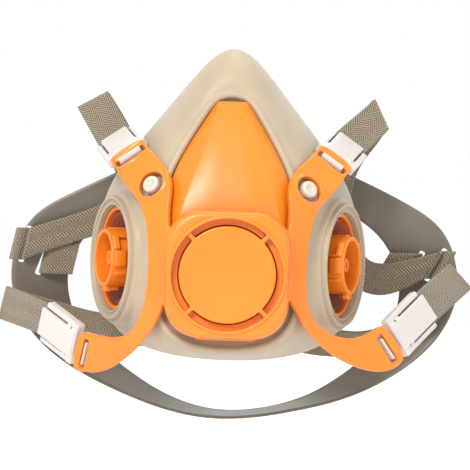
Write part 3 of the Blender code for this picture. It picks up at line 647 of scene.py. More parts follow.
def grid_object(name, rows):
    """An open quad surface through rows of points."""
    shape = bmesh.new()
    lines = [[shape.verts.new(mm(point)) for point in row] for row in rows]
    for line, next_line in zip(lines, lines[1:]):
        for here in range(len(line) - 1):
            shape.faces.new((line[here], line[here + 1], next_line[here + 1], next_line[here]))
    return add_object(name, mesh_of(name, shape))


def add_mirror(item):
    mirror = item.modifiers.new("other_half", "MIRROR")
    mirror.use_clip = True
    mirror.merge_threshold = 0.00001


def subdivide(item, levels, keep_corners=False):
    step = item.modifiers.new("smooth_surface", "SUBSURF")
    step.levels = levels
    step.render_levels = levels
    if keep_corners:
        step.boundary_smooth = "PRESERVE_CORNERS"


def thicken(item, thickness, offset):
    step = item.modifiers.new("wall", "SOLIDIFY")
    step.thickness = thickness * MM
    step.offset = offset
    step.use_even_offset = True


def round_edges(item, width, segments=3, angle=30.0):
    step = item.modifiers.new("rounded", "BEVEL")
    step.width = width * MM
    step.segments = segments
    step.limit_method = "ANGLE"
    step.angle_limit = math.radians(angle)


def turned(name, profile, steps=96, arcs=2):
    """A closed profile of (radius, height), turned about local Z with its corners rounded."""
    outline = rounded_profile(profile, arcs)

    def build(shape):
        rings = []
        for step in range(steps):
            turn = 2.0 * math.pi * step / steps
            rings.append([
                shape.verts.new(mm((radius * math.cos(turn), radius * math.sin(turn), height)))
                for radius, height in outline
            ])
        for step, ring in enumerate(rings):
            bridge(shape, ring, rings[(step + 1) % steps])

    return add_object(name, mesh_from(name, build))


def rounded_profile(profile, arcs):
    """Profile points as (radius, height) or (radius, height, corner radius), with corners as arcs."""
    points = []
    count = len(profile)
    for here, entry in enumerate(profile):
        corner = Vector(entry[:2])
        size = entry[2] if len(entry) > 2 else 0.0
        if not size:
            points.append(tuple(corner))
            continue
        before = (Vector(profile[here - 1][:2]) - corner).normalized()
        after = (Vector(profile[(here + 1) % count][:2]) - corner).normalized()
        start = corner + before * size
        end = corner + after * size
        for step in range(arcs + 2):
            share = step / (arcs + 1)
            point = start * (1 - share) ** 2 + corner * 2 * share * (1 - share) + end * share ** 2
            points.append(tuple(point))
    return points


def box(name, low, high):
    low_corner = Vector(low)
    size = Vector(high) - low_corner

    def build(shape):
        bmesh.ops.create_cube(shape, size=1.0)
        bmesh.ops.scale(shape, vec=size * MM, verts=shape.verts)
        bmesh.ops.translate(shape, vec=mm(low_corner + size / 2), verts=shape.verts)

    return add_object(name, mesh_from(name, build))


def rounded_box(name, low, high, radius, segments=4):
    item = box(name, low, high)
    round_edges(item, radius, segments)
    return item


def cylinder(name, radius, low, high, sides=64):
    def build(shape):
        bmesh.ops.create_cone(
            shape, cap_ends=True, segments=sides, radius1=radius * MM, radius2=radius * MM,
            depth=(high - low) * MM,
        )
        bmesh.ops.translate(shape, vec=mm((0.0, 0.0, (low + high) / 2)), verts=shape.verts)

    return add_object(name, mesh_from(name, build))


def lofted(name, layers):
    """A closed solid through outlines of equal length, each at its own height."""

    def build(shape):
        rings = [[shape.verts.new(mm((x, y, height))) for x, y in outline] for outline, height in layers]
        shape.faces.new(list(reversed(rings[0])))
        shape.faces.new(rings[-1])
        for lower, upper in zip(rings, rings[1:]):
            bridge(shape, lower, upper)

    return add_object(name, mesh_from(name, build))


def prism(name, outline, low, high):
    """A closed outline of (x, y), extruded along local Z."""
    return lofted(name, [(outline, low), (outline, high)])


def tube(name, points, radius, resolution=4):
    """A closed loop of round wire through points."""
    curve = bpy.data.curves.new(name, "CURVE")
    curve.dimensions = "3D"
    curve.bevel_depth = radius * MM
    curve.bevel_resolution = resolution
    line = curve.splines.new("POLY")
    line.points.add(len(points) - 1)
    for target, point in zip(line.points, points):
        target.co = (*mm(point), 1.0)
    line.use_cyclic_u = True
    item = bpy.data.objects.new(name, curve)
    bpy.context.scene.collection.objects.link(item)
    return item


def blended(stations, steps, closed=False):
    """Points of a cubic B-spline led by rows of vectors, held at both ends unless closed."""
    rows = [[Vector(value) for value in row] for row in stations]
    count = len(rows)
    if not closed:
        first = [2.0 * a - b for a, b in zip(rows[0], rows[1])]
        last = [2.0 * a - b for a, b in zip(rows[-1], rows[-2])]
        rows = [first] + rows + [last]
    result = []
    for segment in range(count if closed else count - 1):
        if closed:
            near = [rows[(segment + shift) % count] for shift in (-1, 0, 1, 2)]
        else:
            near = rows[segment:segment + 4]
        for step in range(steps):
            t = step / steps
            weights = (
                (1 - t) ** 3 / 6, (3 * t ** 3 - 6 * t ** 2 + 4) / 6,
                (-3 * t ** 3 + 3 * t ** 2 + 3 * t + 1) / 6, t ** 3 / 6,
            )
            mixed = []
            for values in zip(*near):
                total = Vector((0.0, 0.0, 0.0))
                for weight, value in zip(weights, values):
                    total += weight * value
                mixed.append(total)
            result.append(mixed)
    if not closed:
        result.append([Vector(value) for value in stations[-1]])
    return result


# ---------------------------------------------------------------- frames of the parts


def port_matrix(side):
    """Placement of a cheek port: local Z points outwards along the port's axis."""
    sign = side_sign(side)
    axis = Vector((sign * math.sin(PORT_TURN), -math.cos(PORT_TURN), 0.0))
    return axes_matrix(mirrored(PORT_CENTRE, side), UP.cross(axis), UP)


def valve_matrix(y):
    """Placement on the exhalation valve's axis: local Z points forwards."""
    return axes_matrix((0.0, y, VALVE_CENTRE_Z), (1.0, 0.0, 0.0), (0.0, 0.0, 1.0))


def arm_stations(side):
    stations = UPPER_ARM + LOWER_ARM[side]
    return [(mirrored(inner, side), mirrored(outer, side)) for inner, outer in stations]


def tab_frame(name):
    """Slot placement of a yoke tab: pivot, slot direction, inward direction and outward normal."""
    side, level = name.split("_")
    stations = arm_stations(side)
    end, before = (stations[0], stations[1]) if level == "upper" else (stations[-1], stations[-2])
    end_middle = (end[0] + end[1]) / 2
    across = (end[1] - end[0]).normalized()
    inward = (before[0] + before[1]) / 2 - end_middle
    inward = (inward - across * inward.dot(across)).normalized()
    out = across.cross(inward)
    if out.y > 0.0:
        out = -out
    pivot = end_middle + inward * (TAB_BAR / 2 + 0.9) - out * (ARM_WALL / 2)
    return pivot, across, inward, out


def stud_matrix(side):
    """Placement of a stud: local Z points out of the upper tab."""
    stations = arm_stations(side)
    inner, outer = stations[STUD_STATION]
    above = sum(stations[STUD_STATION - 1], Vector())
    below = sum(stations[STUD_STATION + 1], Vector())
    normal = (outer - inner).cross(above - below).normalized()
    if normal.y > 0.0:
        normal = -normal
    across = UP.cross(normal)
    return axes_matrix((inner + outer) / 2, across, normal.cross(across))


def buckle_matrix(name):
    """Placement of a buckle on its hinge: x along the bar, y along the strap, z out of the face."""
    joint = JOINTS[f"{name}_buckle_hinge"]
    bar = Vector(joint["axis"])
    pivot = Vector(joint["pos_m"]) / MM
    return axes_matrix(pivot, bar, Vector(BUCKLE_DIRECTIONS[name]))


# ---------------------------------------------------------------- facepiece


def facepiece_rows():
    rows = []
    for inner, front, wide in zip(INNER_EDGE, FRONT_EDGE, WIDEST_LINE):
        front = Vector(front)
        wide = Vector(wide)
        row = [Vector(inner)]
        for share in WALL_STEPS:
            point = front.lerp(wide, share)
            point.y -= WALL_BULGE * 4.0 * share * (1.0 - share)
            row.append(point)
        row.append(wide)
        row.append(wide + Vector((-wide.x * 0.015, SEAL_DEPTH, -wide.z * 0.015)))
        row.append(Vector((wide.x * SEAL_SCALE_X, wide.y + SEAL_DEPTH * 0.45, wide.z * SEAL_SCALE_Z)))
        rows.append(row)
    return rows


def closed_outline(half):
    """Both halves of an outline that is given from the top to the bottom on one side."""
    right = [Vector(point) for point in half]
    left = [Vector((-p.x, p.y, p.z)) for p in reversed(right[1:-1])]
    return right + left


def smooth_loop(half):
    """A smooth closed line round both halves of an outline that is given on one side."""
    return [row[0] for row in blended([[p] for p in closed_outline(half)], 6, closed=True)]


def make_facepiece():
    skin = grid_object("facepiece_skin", facepiece_rows())
    add_mirror(skin)
    subdivide(skin, 3)
    thicken(skin, FACEPIECE_WALL, -1.0)
    parts = [skin]
    lip_profile = [
        (LIP_RADIUS + 1.6, -1.5), (LIP_RADIUS + 2.6, -3.2), (LIP_RADIUS + 2.8, -6.0),
        (LIP_RADIUS + 1.6, -PORT_DEPTH), (PORT_BORE_RADIUS - 2.0, -PORT_DEPTH),
        (PORT_BORE_RADIUS - 2.0, -1.5),
    ]
    for side in SIDES:
        parts.append(put(turned(f"{side}_lip_body", lip_profile), port_matrix(side)))
    front_line = [Vector(p) + Vector((-0.6 if p[0] else 0.0, -1.2, -0.5)) for p in FRONT_EDGE]
    parts.append(tube("front_bead", smooth_loop(front_line), FRONT_BEAD_RADIUS))
    rim = [point + Vector((0.0, SEAL_RIM_BACK, 0.0)) for point in smooth_loop(WIDEST_LINE)]
    parts.append(tube("seal_rim", rim, SEAL_RIM_RADIUS))
    body = merged("facepiece_body", parts)
    melt(body, FACEPIECE_VOXEL, 5)
    body = baked("facepiece_cut", body)
    cutters = []
    for side in SIDES:
        bore = cylinder(f"{side}_bore", PORT_BORE_RADIUS, -PORT_DEPTH - 2.0, 8.0, 96)
        stem = cylinder(f"{side}_stem_hole", STEM_HOLE_RADIUS, -25.0, 0.0, 24)
        cutters += [put(bore, port_matrix(side)), put(stem, stud_matrix(side))]
    cut(body, cutters)
    parts = [body]
    ring_profile = [
        (LIP_RADIUS + 0.3, -4.0), (LIP_RADIUS + 0.2, 0.5, 0.6), (LIP_RADIUS - 0.9, 0.5, 0.5),
        (LIP_RADIUS - 1.3, -0.9, 0.4), (LIP_RADIUS - 2.5, -0.9, 0.3), (LIP_RADIUS - 2.6, -0.3, 0.3),
        (PORT_BORE_RADIUS + 0.05, -0.3, 0.3), (PORT_BORE_RADIUS + 0.05, -4.0),
    ]
    for side in SIDES:
        parts.append(put(turned(f"{side}_lip_ring", ring_profile, 128), port_matrix(side)))
    settle("facepiece_moulding", merged("facepiece_all", parts), "elastomer", "root", "facepiece", 50.0)


# ---------------------------------------------------------------- nose shell and valve


def crease_column(item, columns, column, sharpness):
    """Keep one column of a grid as a ridge when it is subdivided."""
    creases = item.data.attributes.new("crease_edge", "FLOAT", "EDGE")
    for edge in item.data.edges:
        if all(vertex % columns == column for vertex in edge.vertices):
            creases.data[edge.index].value = sharpness


def make_nose_shell():
    rows = []
    for height, centre_y, ridge, edge in SHELL_ROWS:
        near = Vector((*ridge, height))
        far = Vector((*edge, height))
        rows.append([
            Vector((0.0, centre_y, height)), Vector((ridge[0] * 0.6, centre_y, height)),
            near, near.lerp(far, 0.25), near.lerp(far, 0.8), far,
        ])
    item = grid_object("nose_shell_grid", rows)
    crease_column(item, len(rows[0]), 2, 0.75)
    add_mirror(item)
    subdivide(item, 3, keep_corners=True)
    thicken(item, SHELL_WALL, 1.0)
    round_edges(item, 0.45, 3, 50.0)
    item = baked("nose_shell_cut", item)
    hole = cylinder("exhalation_hole", SEAT_HOLE_RADIUS, -8.0, 8.0, 96)
    cut(item, [put(hole, valve_matrix(SEAT_FRONT_Y))])
    settle("nose_shell_moulding", item, "orange_plastic", "root", "nose_shell", 30.0)


def plus_outline(half_length, half_width):
    corner = [(half_length, -half_width), (half_length, half_width), (half_width, half_width)]
    points = []
    for quarter in range(4):
        turn = math.pi / 2 * quarter
        for x, y in corner:
            points.append((
                x * math.cos(turn) - y * math.sin(turn),
                x * math.sin(turn) + y * math.cos(turn),
            ))
    return points


def make_exhalation_valve():
    place = valve_matrix(SEAT_FRONT_Y)
    seat = turned("seat_ring", [
        (SEAT_RADIUS, 0.0, 0.3), (SEAT_RADIUS, -SEAT_THICKNESS, 0.3),
        (SEAT_INNER_RADIUS, -SEAT_THICKNESS, 0.3), (SEAT_INNER_RADIUS, -0.3, 0.2),
        (SEAT_INNER_RADIUS + 0.9, -0.3, 0.2), (SEAT_INNER_RADIUS + 0.9, 0.0, 0.2),
    ])
    spider = prism("seat_spider", plus_outline(SEAT_INNER_RADIUS + 0.6, 1.0), -2.2, -0.7)
    round_edges(spider, 0.25, 2)
    boss = cylinder("seat_boss", 2.6, -2.3, -0.5, 48)
    round_edges(boss, 0.3, 2)
    seat = merged("seat_all", [put(item, place) for item in (seat, spider, boss)])
    settle("exhalation_seat_ring", seat, "cream_plastic", "root", "exhalation_seat")
    profile = flap_profile(SEAT_INNER_RADIUS + 2.0, FLAP_GAP, FLAP_GAP + FLAP_THICKNESS)
    flap = put(turned("flap_disc", profile), place)
    settle("exhalation_flap_disc", flap, "valve_silicone", "exhalation_flap", "exhalation_flap")


def flap_profile(radius, low, high):
    """A thin disc with a thicker middle and a soft rim; it closes on the axis."""
    return [
        (0.02, low), (0.02, high), (2.2, high, 0.2), (2.8, high - 0.25), (radius - 1.0, high - 0.3),
        (radius, low + 0.25, 0.1), (radius, low, 0.1),
    ]


# ---------------------------------------------------------------- yoke


def rounded_square(width, height, corner, steps=14):
    points = []
    for quarter, (sign_x, sign_y) in enumerate([(1, 1), (-1, 1), (-1, -1), (1, -1)]):
        centre_x = sign_x * (width / 2 - corner)
        centre_y = sign_y * (height / 2 - corner)
        for step in range(steps + 1):
            angle = math.pi / 2 * (quarter + step / steps)
            points.append((
                centre_x + corner * math.cos(angle), centre_y + corner * math.sin(angle),
            ))
    return points


def cover_layers(inset, front, back, rounding):
    wide = COVER_WIDTH_BACK - 2.0 * inset
    narrow = COVER_WIDTH_FRONT - 2.0 * inset
    tall = COVER_EXTRA_HEIGHT
    corner = COVER_CORNER - inset
    layers = [(rounded_square(wide, wide + tall, corner), back)]
    for step in range(5):
        turn = math.pi / 2 * step / 4
        shrink = rounding * (1.0 - math.cos(turn))
        height = front - rounding * (1.0 - math.sin(turn))
        size = narrow - 2.0 * shrink
        layers.append((rounded_square(size, size + tall, corner - shrink * 0.5), height))
    return layers


def slot_sector(number):
    """Outline of one of the four openings between the disc and the cover's ring."""
    half_spoke = math.asin(SPOKE_WIDTH / 2 / DISC_RADIUS)
    start = math.radians(45.0 + 90.0 * number) + half_spoke
    sweep = math.pi / 2 - 2.0 * half_spoke
    steps = 24
    angles = [start + sweep * step / steps for step in range(steps + 1)]
    outer = [(SLOT_RING_RADIUS * math.cos(a), SLOT_RING_RADIUS * math.sin(a)) for a in angles]
    inner = [(DISC_RADIUS * math.cos(a), DISC_RADIUS * math.sin(a)) for a in reversed(angles)]
    return outer + inner


def yoke_cutters(front, back, cover_place):
    """The cover's pocket and slots, the stud holes and the tabs' slots."""
    pocket = lofted("cover_pocket", cover_layers(COVER_WALL, front - 2.0, back - 6.0, 0.6))
    cutters = [put(pocket, cover_place)]
    for number in range(4):
        sector = prism(f"slot_sector_{number}", slot_sector(number), front - 6.0, front + 4.0)
        cutters.append(put(sector, cover_place))
    half = TAB_SLOT_LENGTH / 2
    start = TAB_BAR / 2
    for side in SIDES:
        hole = cylinder(f"{side}_stud_hole", STUD_HOLE_RADIUS, -5.0, 3.0, 72)
        cutters.append(put(hole, stud_matrix(side)))
        for level in ("upper", "lower"):
            name = f"{side}_{level}"
            pivot, across, inward, _ = tab_frame(name)
            slot = rounded_box(
                f"{name}_slot", (-half, start, -6.0), (half, start + TAB_SLOT_WIDTH, 6.0), 0.35, 2,
            )
            cutters.append(put(slot, axes_matrix(pivot, across, inward)))
    return cutters


def cover_trims(front):
    """The bead outside the cover's slot, the disc's skirt and the ledge behind the slot."""
    return [
        turned("cover_ring", [
            (SLOT_RING_RADIUS - 0.05, front - 4.6), (SLOT_RING_RADIUS - 0.05, front + 0.8, 0.3),
            (SLOT_RING_RADIUS + 1.15, front + 0.8, 0.5), (SLOT_RING_RADIUS + 1.35, front - 4.6),
        ], 128),
        turned("disc_skirt", [
            (DISC_RADIUS - 1.1, front - 4.0), (DISC_RADIUS - 1.1, front - 1.0),
            (DISC_RADIUS - 0.1, front - 1.0), (DISC_RADIUS - 0.1, front - 4.0, 0.3),
        ], 128),
        turned("slot_ledge", [
            (DISC_RADIUS + 0.5, front - 4.6), (DISC_RADIUS + 0.5, front - 3.6, 0.2),
            (SLOT_RING_RADIUS + 0.5, front - 3.6), (SLOT_RING_RADIUS + 0.5, front - 4.6),
        ], 128),
    ]


def make_yoke():
    cover_place = axes_matrix((0.0, 0.0, COVER_CENTRE_Z), (1.0, 0.0, 0.0), (0.0, 0.0, 1.0))
    front = -COVER_FRONT_Y
    back = -COVER_BACK_Y
    parts = [put(lofted("cover", cover_layers(0.0, front, back, 2.2)), cover_place)]
    for side in SIDES:
        rows = [[inner, inner.lerp(outer, 0.5), outer] for inner, outer in arm_stations(side)]
        arm = grid_object(f"{side}_arm", rows)
        subdivide(arm, 3)
        thicken(arm, ARM_WALL, side_sign(side))
        parts.append(arm)
        parts += tab_rims(side)
    yoke = merged("yoke_solids", parts)
    melt(yoke, YOKE_VOXEL, 2)
    yoke = baked("yoke_cut", yoke)
    cut(yoke, yoke_cutters(front, back, cover_place))
    melt(yoke, YOKE_VOXEL, 2)
    trims = [put(item, cover_place) for item in cover_trims(front)]
    yoke = merged("yoke_all", [yoke] + trims)
    settle("yoke_moulding", yoke, "orange_plastic", "root", "yoke", 60.0)


def tab_rims(side):
    """Raised frames round the stud hole and the end slots of one side's tabs."""
    ring = turned(f"{side}_hole_rim", [
        (STUD_HOLE_RADIUS - 0.2, -1.0), (STUD_HOLE_RADIUS - 0.2, 0.55, 0.2),
        (STUD_HOLE_RADIUS + 1.0, 0.55, 0.4), (STUD_HOLE_RADIUS + 1.5, -1.0),
    ], 64)
    rims = [put(ring, stud_matrix(side))]
    half = TAB_SLOT_LENGTH / 2 + 0.9
    low = -TAB_BAR / 2 + 0.5
    high = TAB_BAR / 2 + TAB_SLOT_WIDTH + 0.9
    corners = [(-half, low), (half, low), (half, high), (-half, high)]
    for level in ("upper", "lower"):
        pivot, across, inward, out = tab_frame(f"{side}_{level}")
        place = Matrix((across, inward, out)).transposed()
        outline = []
        for number, corner in enumerate(corners):
            following = corners[(number + 1) % 4]
            for share in (0.12, 0.5, 0.88):
                x = corner[0] + (following[0] - corner[0]) * share
                y = corner[1] + (following[1] - corner[1]) * share
                outline.append(pivot + place @ Vector((x, y, ARM_WALL / 2 + 0.1)))
        rims.append(tube(f"{side}_{level}_slot_rim", outline, SLOT_RIM_RADIUS, resolution=2))
    return rims


# ---------------------------------------------------------------- ports


def turned_by(place, degrees):
    """A placement turned about its own Z axis."""
    return place @ Matrix.Rotation(math.radians(degrees), 4, "Z")


def bayonet_details(side, place, floor):
    """Lugs with their stops, ribs between them, and the flat panel on the tube."""
    inside = TUBE_RADIUS - 0.6
    details = []
    for number in range(LUG_COUNT):
        turn = 360.0 / LUG_COUNT * number + 30.0
        lug = rounded_box(
            f"{side}_lug_{number}", (inside, -LUG_HALF_WIDTH, 0.0),
            (TUBE_RADIUS + LUG_REACH, LUG_HALF_WIDTH, LUG_THICKNESS), 0.35, 3,
        )
        stop = rounded_box(
            f"{side}_stop_{number}", (inside, LUG_HALF_WIDTH - 0.9, -3.4),
            (TUBE_RADIUS + 1.5, LUG_HALF_WIDTH, 1.0), 0.3, 2,
        )
        rib = rounded_box(
            f"{side}_rib_{number}", (inside, -0.8, floor - 0.2),
            (TUBE_RADIUS + 0.7, 0.8, TUBE_REACH - 1.6), 0.3, 2,
        )
        details += [put(lug, turned_by(place, turn)), put(stop, turned_by(place, turn))]
        details.append(put(rib, turned_by(place, turn + 60.0)))
    panel = rounded_box(
        f"{side}_panel", (inside, -3.4, TUBE_REACH - 6.0), (TUBE_RADIUS + 0.8, 3.4, TUBE_REACH - 1.0),
        0.35, 3,
    )
    details.append(put(panel, turned_by(place, 0.0 if side == "left" else 180.0)))
    return details


def make_port_cup(side, place, floor):
    cup = turned(f"{side}_cup", [
        (CUP_RADIUS, -2.6, 0.3), (CUP_RADIUS, -PORT_DEPTH), (TUBE_BORE_RADIUS, -PORT_DEPTH, 0.3),
        (TUBE_BORE_RADIUS, TUBE_REACH, 0.4), (TUBE_RADIUS, TUBE_REACH, 0.4), (TUBE_RADIUS, floor, 0.5),
        (CUP_RADIUS - CUP_WALL, floor, 0.6), (CUP_RADIUS - CUP_WALL, -2.6, 0.4),
    ], 128, 4)
    spider = prism(f"{side}_spider", plus_outline(TUBE_BORE_RADIUS + 0.6, 0.9), -PORT_DEPTH + 0.1, floor)
    round_edges(spider, 0.2, 2)
    post = turned(f"{side}_post", [
        (0.02, -PORT_DEPTH), (3.0, -PORT_DEPTH), (3.0, 0.6, 0.5), (1.7, 0.6, 0.3), (1.5, -1.2, 0.3),
        (0.02, -1.2),
    ], 48)
    parts = [put(cup, place), put(spider, turned_by(place, 30.0)), put(post, place)]
    parts += bayonet_details(side, place, floor)
    housing = merged(f"{side}_port_all", parts)
    settle(f"{side}_port_cup", housing, "orange_plastic", "root", f"{side}_port_housing", 35.0)


def make_gasket(side, place, floor):
    """A ring that is high at its outer edge and slopes down to the tube in small steps."""
    inner = TUBE_RADIUS + 0.6
    outer = CUP_RADIUS - 2.3
    high = floor + GASKET_RISE
    profile = [(inner, floor + 0.3), (outer, floor + 0.3), (outer, high, 0.3), (outer - 1.2, high, 0.4)]
    slope = (high - floor - 2.0) / (outer - 1.2 - inner)
    for number in range(GASKET_STEPS):
        far = (outer - 1.7 - inner) * (1.0 - number / GASKET_STEPS)
        near = far - 1.1
        profile += [
            (inner + far, floor + 2.0 + slope * far, 0.15),
            (inner + far - 0.3, floor + 1.6 + slope * far, 0.1),
            (inner + near, floor + 1.6 + slope * near, 0.1),
        ]
    profile.append((inner, floor + 1.5, 0.3))
    gasket = put(turned(f"{side}_gasket", profile, 128), place)
    settle(f"{side}_gasket_ring", gasket, "gasket_rubber", "root", f"{side}_port_gasket", 45.0)


def make_port(side):
    place = port_matrix(side)
    floor = -PORT_DEPTH + CUP_FLOOR
    make_port_cup(side, place, floor)
    make_gasket(side, place, floor)
    flap_top = -PORT_DEPTH - FLAP_GAP
    profile = flap_profile(FLAP_RADIUS, flap_top - FLAP_THICKNESS, flap_top)
    name = f"{side}_inhalation_flap"
    settle(f"{name}_disc", put(turned(f"{side}_flap", profile), place), "valve_silicone", name, name)


# ---------------------------------------------------------------- studs


def make_stud(side):
    stud = turned(f"{side}_stud_body", [
        (0.02, 0.35), (1.3, 0.35, 0.3), (1.9, 1.15, 0.3), (STUD_RADIUS - 0.3, 1.05, 0.7),
        (STUD_RADIUS, -0.2, 0.4), (STUD_RADIUS, STUD_SHOULDER, 0.3),
        (STUD_STEM_RADIUS, STUD_SHOULDER, 0.3), (STUD_STEM_RADIUS, STUD_STEM_END, 0.4),
        (0.02, STUD_STEM_END),
    ], 64, 4)
    stud = put(stud, stud_matrix(side))
    settle(f"{side}_stud_button", stud, "cream_plastic", "root", f"{side}_yoke_stud", 35.0)


# ---------------------------------------------------------------- buckles


def arc_points(radius, start, end, steps=24):
    """Points along an arc between two angles in degrees."""
    angles = [math.radians(start + (end - start) * step / steps) for step in range(steps + 1)]
    return [(radius * math.cos(angle), radius * math.sin(angle)) for angle in angles]


def hook_outline():
    """The buckle's hook, seen along the bar: an open ring that runs into the base."""
    outer = arc_points(HOOK_OUTER_RADIUS, *HOOK_ARC)
    inner = arc_points(HOOK_INNER_RADIUS, *HOOK_ARC)
    outer[0] = (BUCKLE_START + 1.0, BUCKLE_BACK)
    inner[0] = (BUCKLE_START + 1.0, CHANNEL_BACK)
    return list(reversed(outer)) + inner


def buckle_body():
    """One buckle about its own bar: base, tongue between two slits, and a rail on each side."""
    solids = [
        rounded_box(
            "base", (-BUCKLE_HALF_WIDTH, BUCKLE_START, BUCKLE_BACK),
            (BUCKLE_HALF_WIDTH, BUCKLE_END - 1.5, BUCKLE_FRONT - WING_DROP), 0.8,
        ),
        rounded_box(
            "shoulder", (-BUCKLE_HALF_WIDTH, BUCKLE_START, BUCKLE_BACK),
            (BUCKLE_HALF_WIDTH, CHANNEL_START - 1.0, BUCKLE_FRONT - WING_DROP / 2), 0.8,
        ),
        rounded_box(
            "tongue", (-TONGUE_HALF_WIDTH, BUCKLE_START + 1.0, CHANNEL_FRONT - 0.4),
            (TONGUE_HALF_WIDTH, BUCKLE_END, BUCKLE_FRONT + 0.3), 0.4,
        ),
    ]
    along_bar = Matrix(((0, 0, 1, 0), (1, 0, 0, 0), (0, 1, 0, 0), (0, 0, 0, 1)))
    hook = prism("hook", hook_outline(), -HOOK_HALF_WIDTH, HOOK_HALF_WIDTH)
    body = merged("buckle_solids", solids + [put(hook, along_bar)])
    melt(body, BUCKLE_VOXEL, 1)
    body = baked("buckle_cut", body)
    cutters = [box(
        "channel", (-CHANNEL_HALF_WIDTH, CHANNEL_START, CHANNEL_BACK),
        (CHANNEL_HALF_WIDTH, BUCKLE_END + 2.0, CHANNEL_FRONT),
    )]
    for sign in (-1.0, 1.0):
        near = sign * TONGUE_HALF_WIDTH
        far = sign * (TONGUE_HALF_WIDTH + SLIT_WIDTH)
        cutters.append(box(
            f"slit_{sign}", (min(near, far), CHANNEL_START + 2.0, CHANNEL_BACK + 0.5),
            (max(near, far), BUCKLE_END + 2.0, BUCKLE_FRONT + 2.0),
        ))
        relief = cylinder(f"relief_{sign}", 0.6, CHANNEL_BACK + 0.5, BUCKLE_FRONT + 2.0, 24)
        cutters.append(put(relief, Matrix.Translation(mm((near, CHANNEL_START - 1.0, 0.0)))))
    cut(body, cutters)
    melt(body, BUCKLE_VOXEL * 0.75, 3)
    return finished_mesh(body)


def make_buckles():
    shape = buckle_body()
    for name in BUCKLE_DIRECTIONS:
        node = f"{name}_buckle"
        item = put(add_object(f"{node}_raw", shape.copy()), buckle_matrix(name))
        settle(f"{node}_moulding", item, "white_plastic", node, node, 60.0)


# ---------------------------------------------------------------- webbing


def band_section(before, centre, after, half, columns, depth_at):
    """Points round one section of a flat band, as (share of the half width, side, place)."""
    normal = (after - before).cross(half).normalized()
    section = []
    for side in (1.0, -1.0):
        for step in range(columns + 1) if side > 0 else range(columns, -1, -1):
            share = -1.0 + 2.0 * step / columns
            place = centre + half * share + normal * depth_at(abs(share)) * side
            section.append((share, side, place))
    return section


def strap_depth(edge):
    """Half the webbing's thickness: a slightly thicker edge with a thin rounded rim."""
    depth = STRAP_THICKNESS / 2 * (1.0 + 0.12 * (0.84 < edge < 0.97))
    return depth * 0.35 if edge > 0.97 else depth


def strap_mesh(name, rows, start_length=0.0, columns=24):
    """Woven band through rows of (centre, half width vector), with its weave laid along it."""

    def build(shape):
        laid = shape.verts.layers.float_vector.new("weave")
        rings = []
        length = start_length
        for number, (centre, half) in enumerate(rows):
            before = rows[max(0, number - 1)][0]
            after = rows[min(len(rows) - 1, number + 1)][0]
            if number:
                length += (centre - before).length
            ring = []
            for share, side, place in band_section(before, centre, after, half, columns, strap_depth):
                vertex = shape.verts.new(mm(place))
                vertex[laid] = (share * half.length, length, side)
                ring.append(vertex)
            rings.append(ring)
        for ring, next_ring in zip(rings, rings[1:]):
            bridge(shape, ring, next_ring)
        for ring in (rings[0], rings[-1]):
            for here in range(columns):
                there = len(ring) - 1 - here
                shape.faces.new((ring[here], ring[here + 1], ring[there - 1], ring[there]))

    return mesh_from(name, build)


def strap_object(name, rows, start_length):
    return add_object(name, strap_mesh(name, rows, start_length))


def front_stations(name):
    """The strap from inside its buckle to its fold, ready to turn back."""
    place = buckle_matrix(name)
    middle = (CHANNEL_BACK + CHANNEL_FRONT) / 2
    bar = place.to_3x3() @ Vector((STRAP_HALF_WIDTH, 0.0, 0.0))
    reaches = (CHANNEL_START + 1.0, 19.0, BUCKLE_END, BUCKLE_END + 3.0)
    stations = [((place @ mm((0.0, reach, middle))) / MM, bar) for reach in reaches]
    fold, half_width = (Vector(value) for value in STRAP_FOLDS[name])
    if half_width.dot(bar) < 0.0:
        half_width = -half_width
    stations.append((stations[-1][0].lerp(fold, 0.5), bar.lerp(half_width, 0.5)))
    stations.append((fold, half_width))
    return stations


def fold_rows(end, direction, start, turn_steps=10):
    """Half a turn of webbing between the end of one run and the start of the next."""
    centre = (end[0] + start[0]) / 2
    arm = end[0] - centre
    reach = direction - arm * direction.dot(arm) / arm.length_squared
    reach = reach.normalized() * arm.length
    rows = []
    for step in range(1, turn_steps):
        angle = math.pi * step / turn_steps
        share = step / turn_steps
        point = centre + arm * math.cos(angle) + reach * math.sin(angle)
        rows.append([point, end[1].lerp(start[1], share)])
    return rows


def make_strap(name):
    """One elastic strap: a front piece with its fold, and a rear piece."""
    rows = blended(front_stations(name), 14)
    rear = [(Vector(c), Vector(w)) for c, w in REAR_STRAPS[name]]
    if rear[0][1].dot(rows[-1][1]) < 0.0:
        rear = [(c, -w) for c, w in rear]
    direction = rows[-1][0] - rows[-3][0]
    rows = rows + fold_rows(rows[-1], direction, rear[0]) + [list(rear[0])]
    front = add_object(f"{name}_front_webbing", strap_mesh(f"{name}_front", rows), "webbing")
    shade(front, 60.0)
    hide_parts(f"{name}_strap_front")
    inside = buckle_matrix(name) @ mm((0.0, BUCKLE_END - 2.0, 0.0))
    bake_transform(front)

    side, level = name.split("_")
    parts = [strap_object(f"{name}_rear_part", blended(rear, 18), REAR_WEAVE_START)]
    parts += cradle_threading(side, rear[-1]) if level == "upper" else [clasp_loop(side)]
    back = merged(f"{name}_rear_webbing", parts, "webbing")
    shade(back, 60.0)
    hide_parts(f"{name}_strap_rear")
    if level == "upper":
        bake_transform(back)
    elif side == "right":
        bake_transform(back)
    else:
        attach(back, "root")


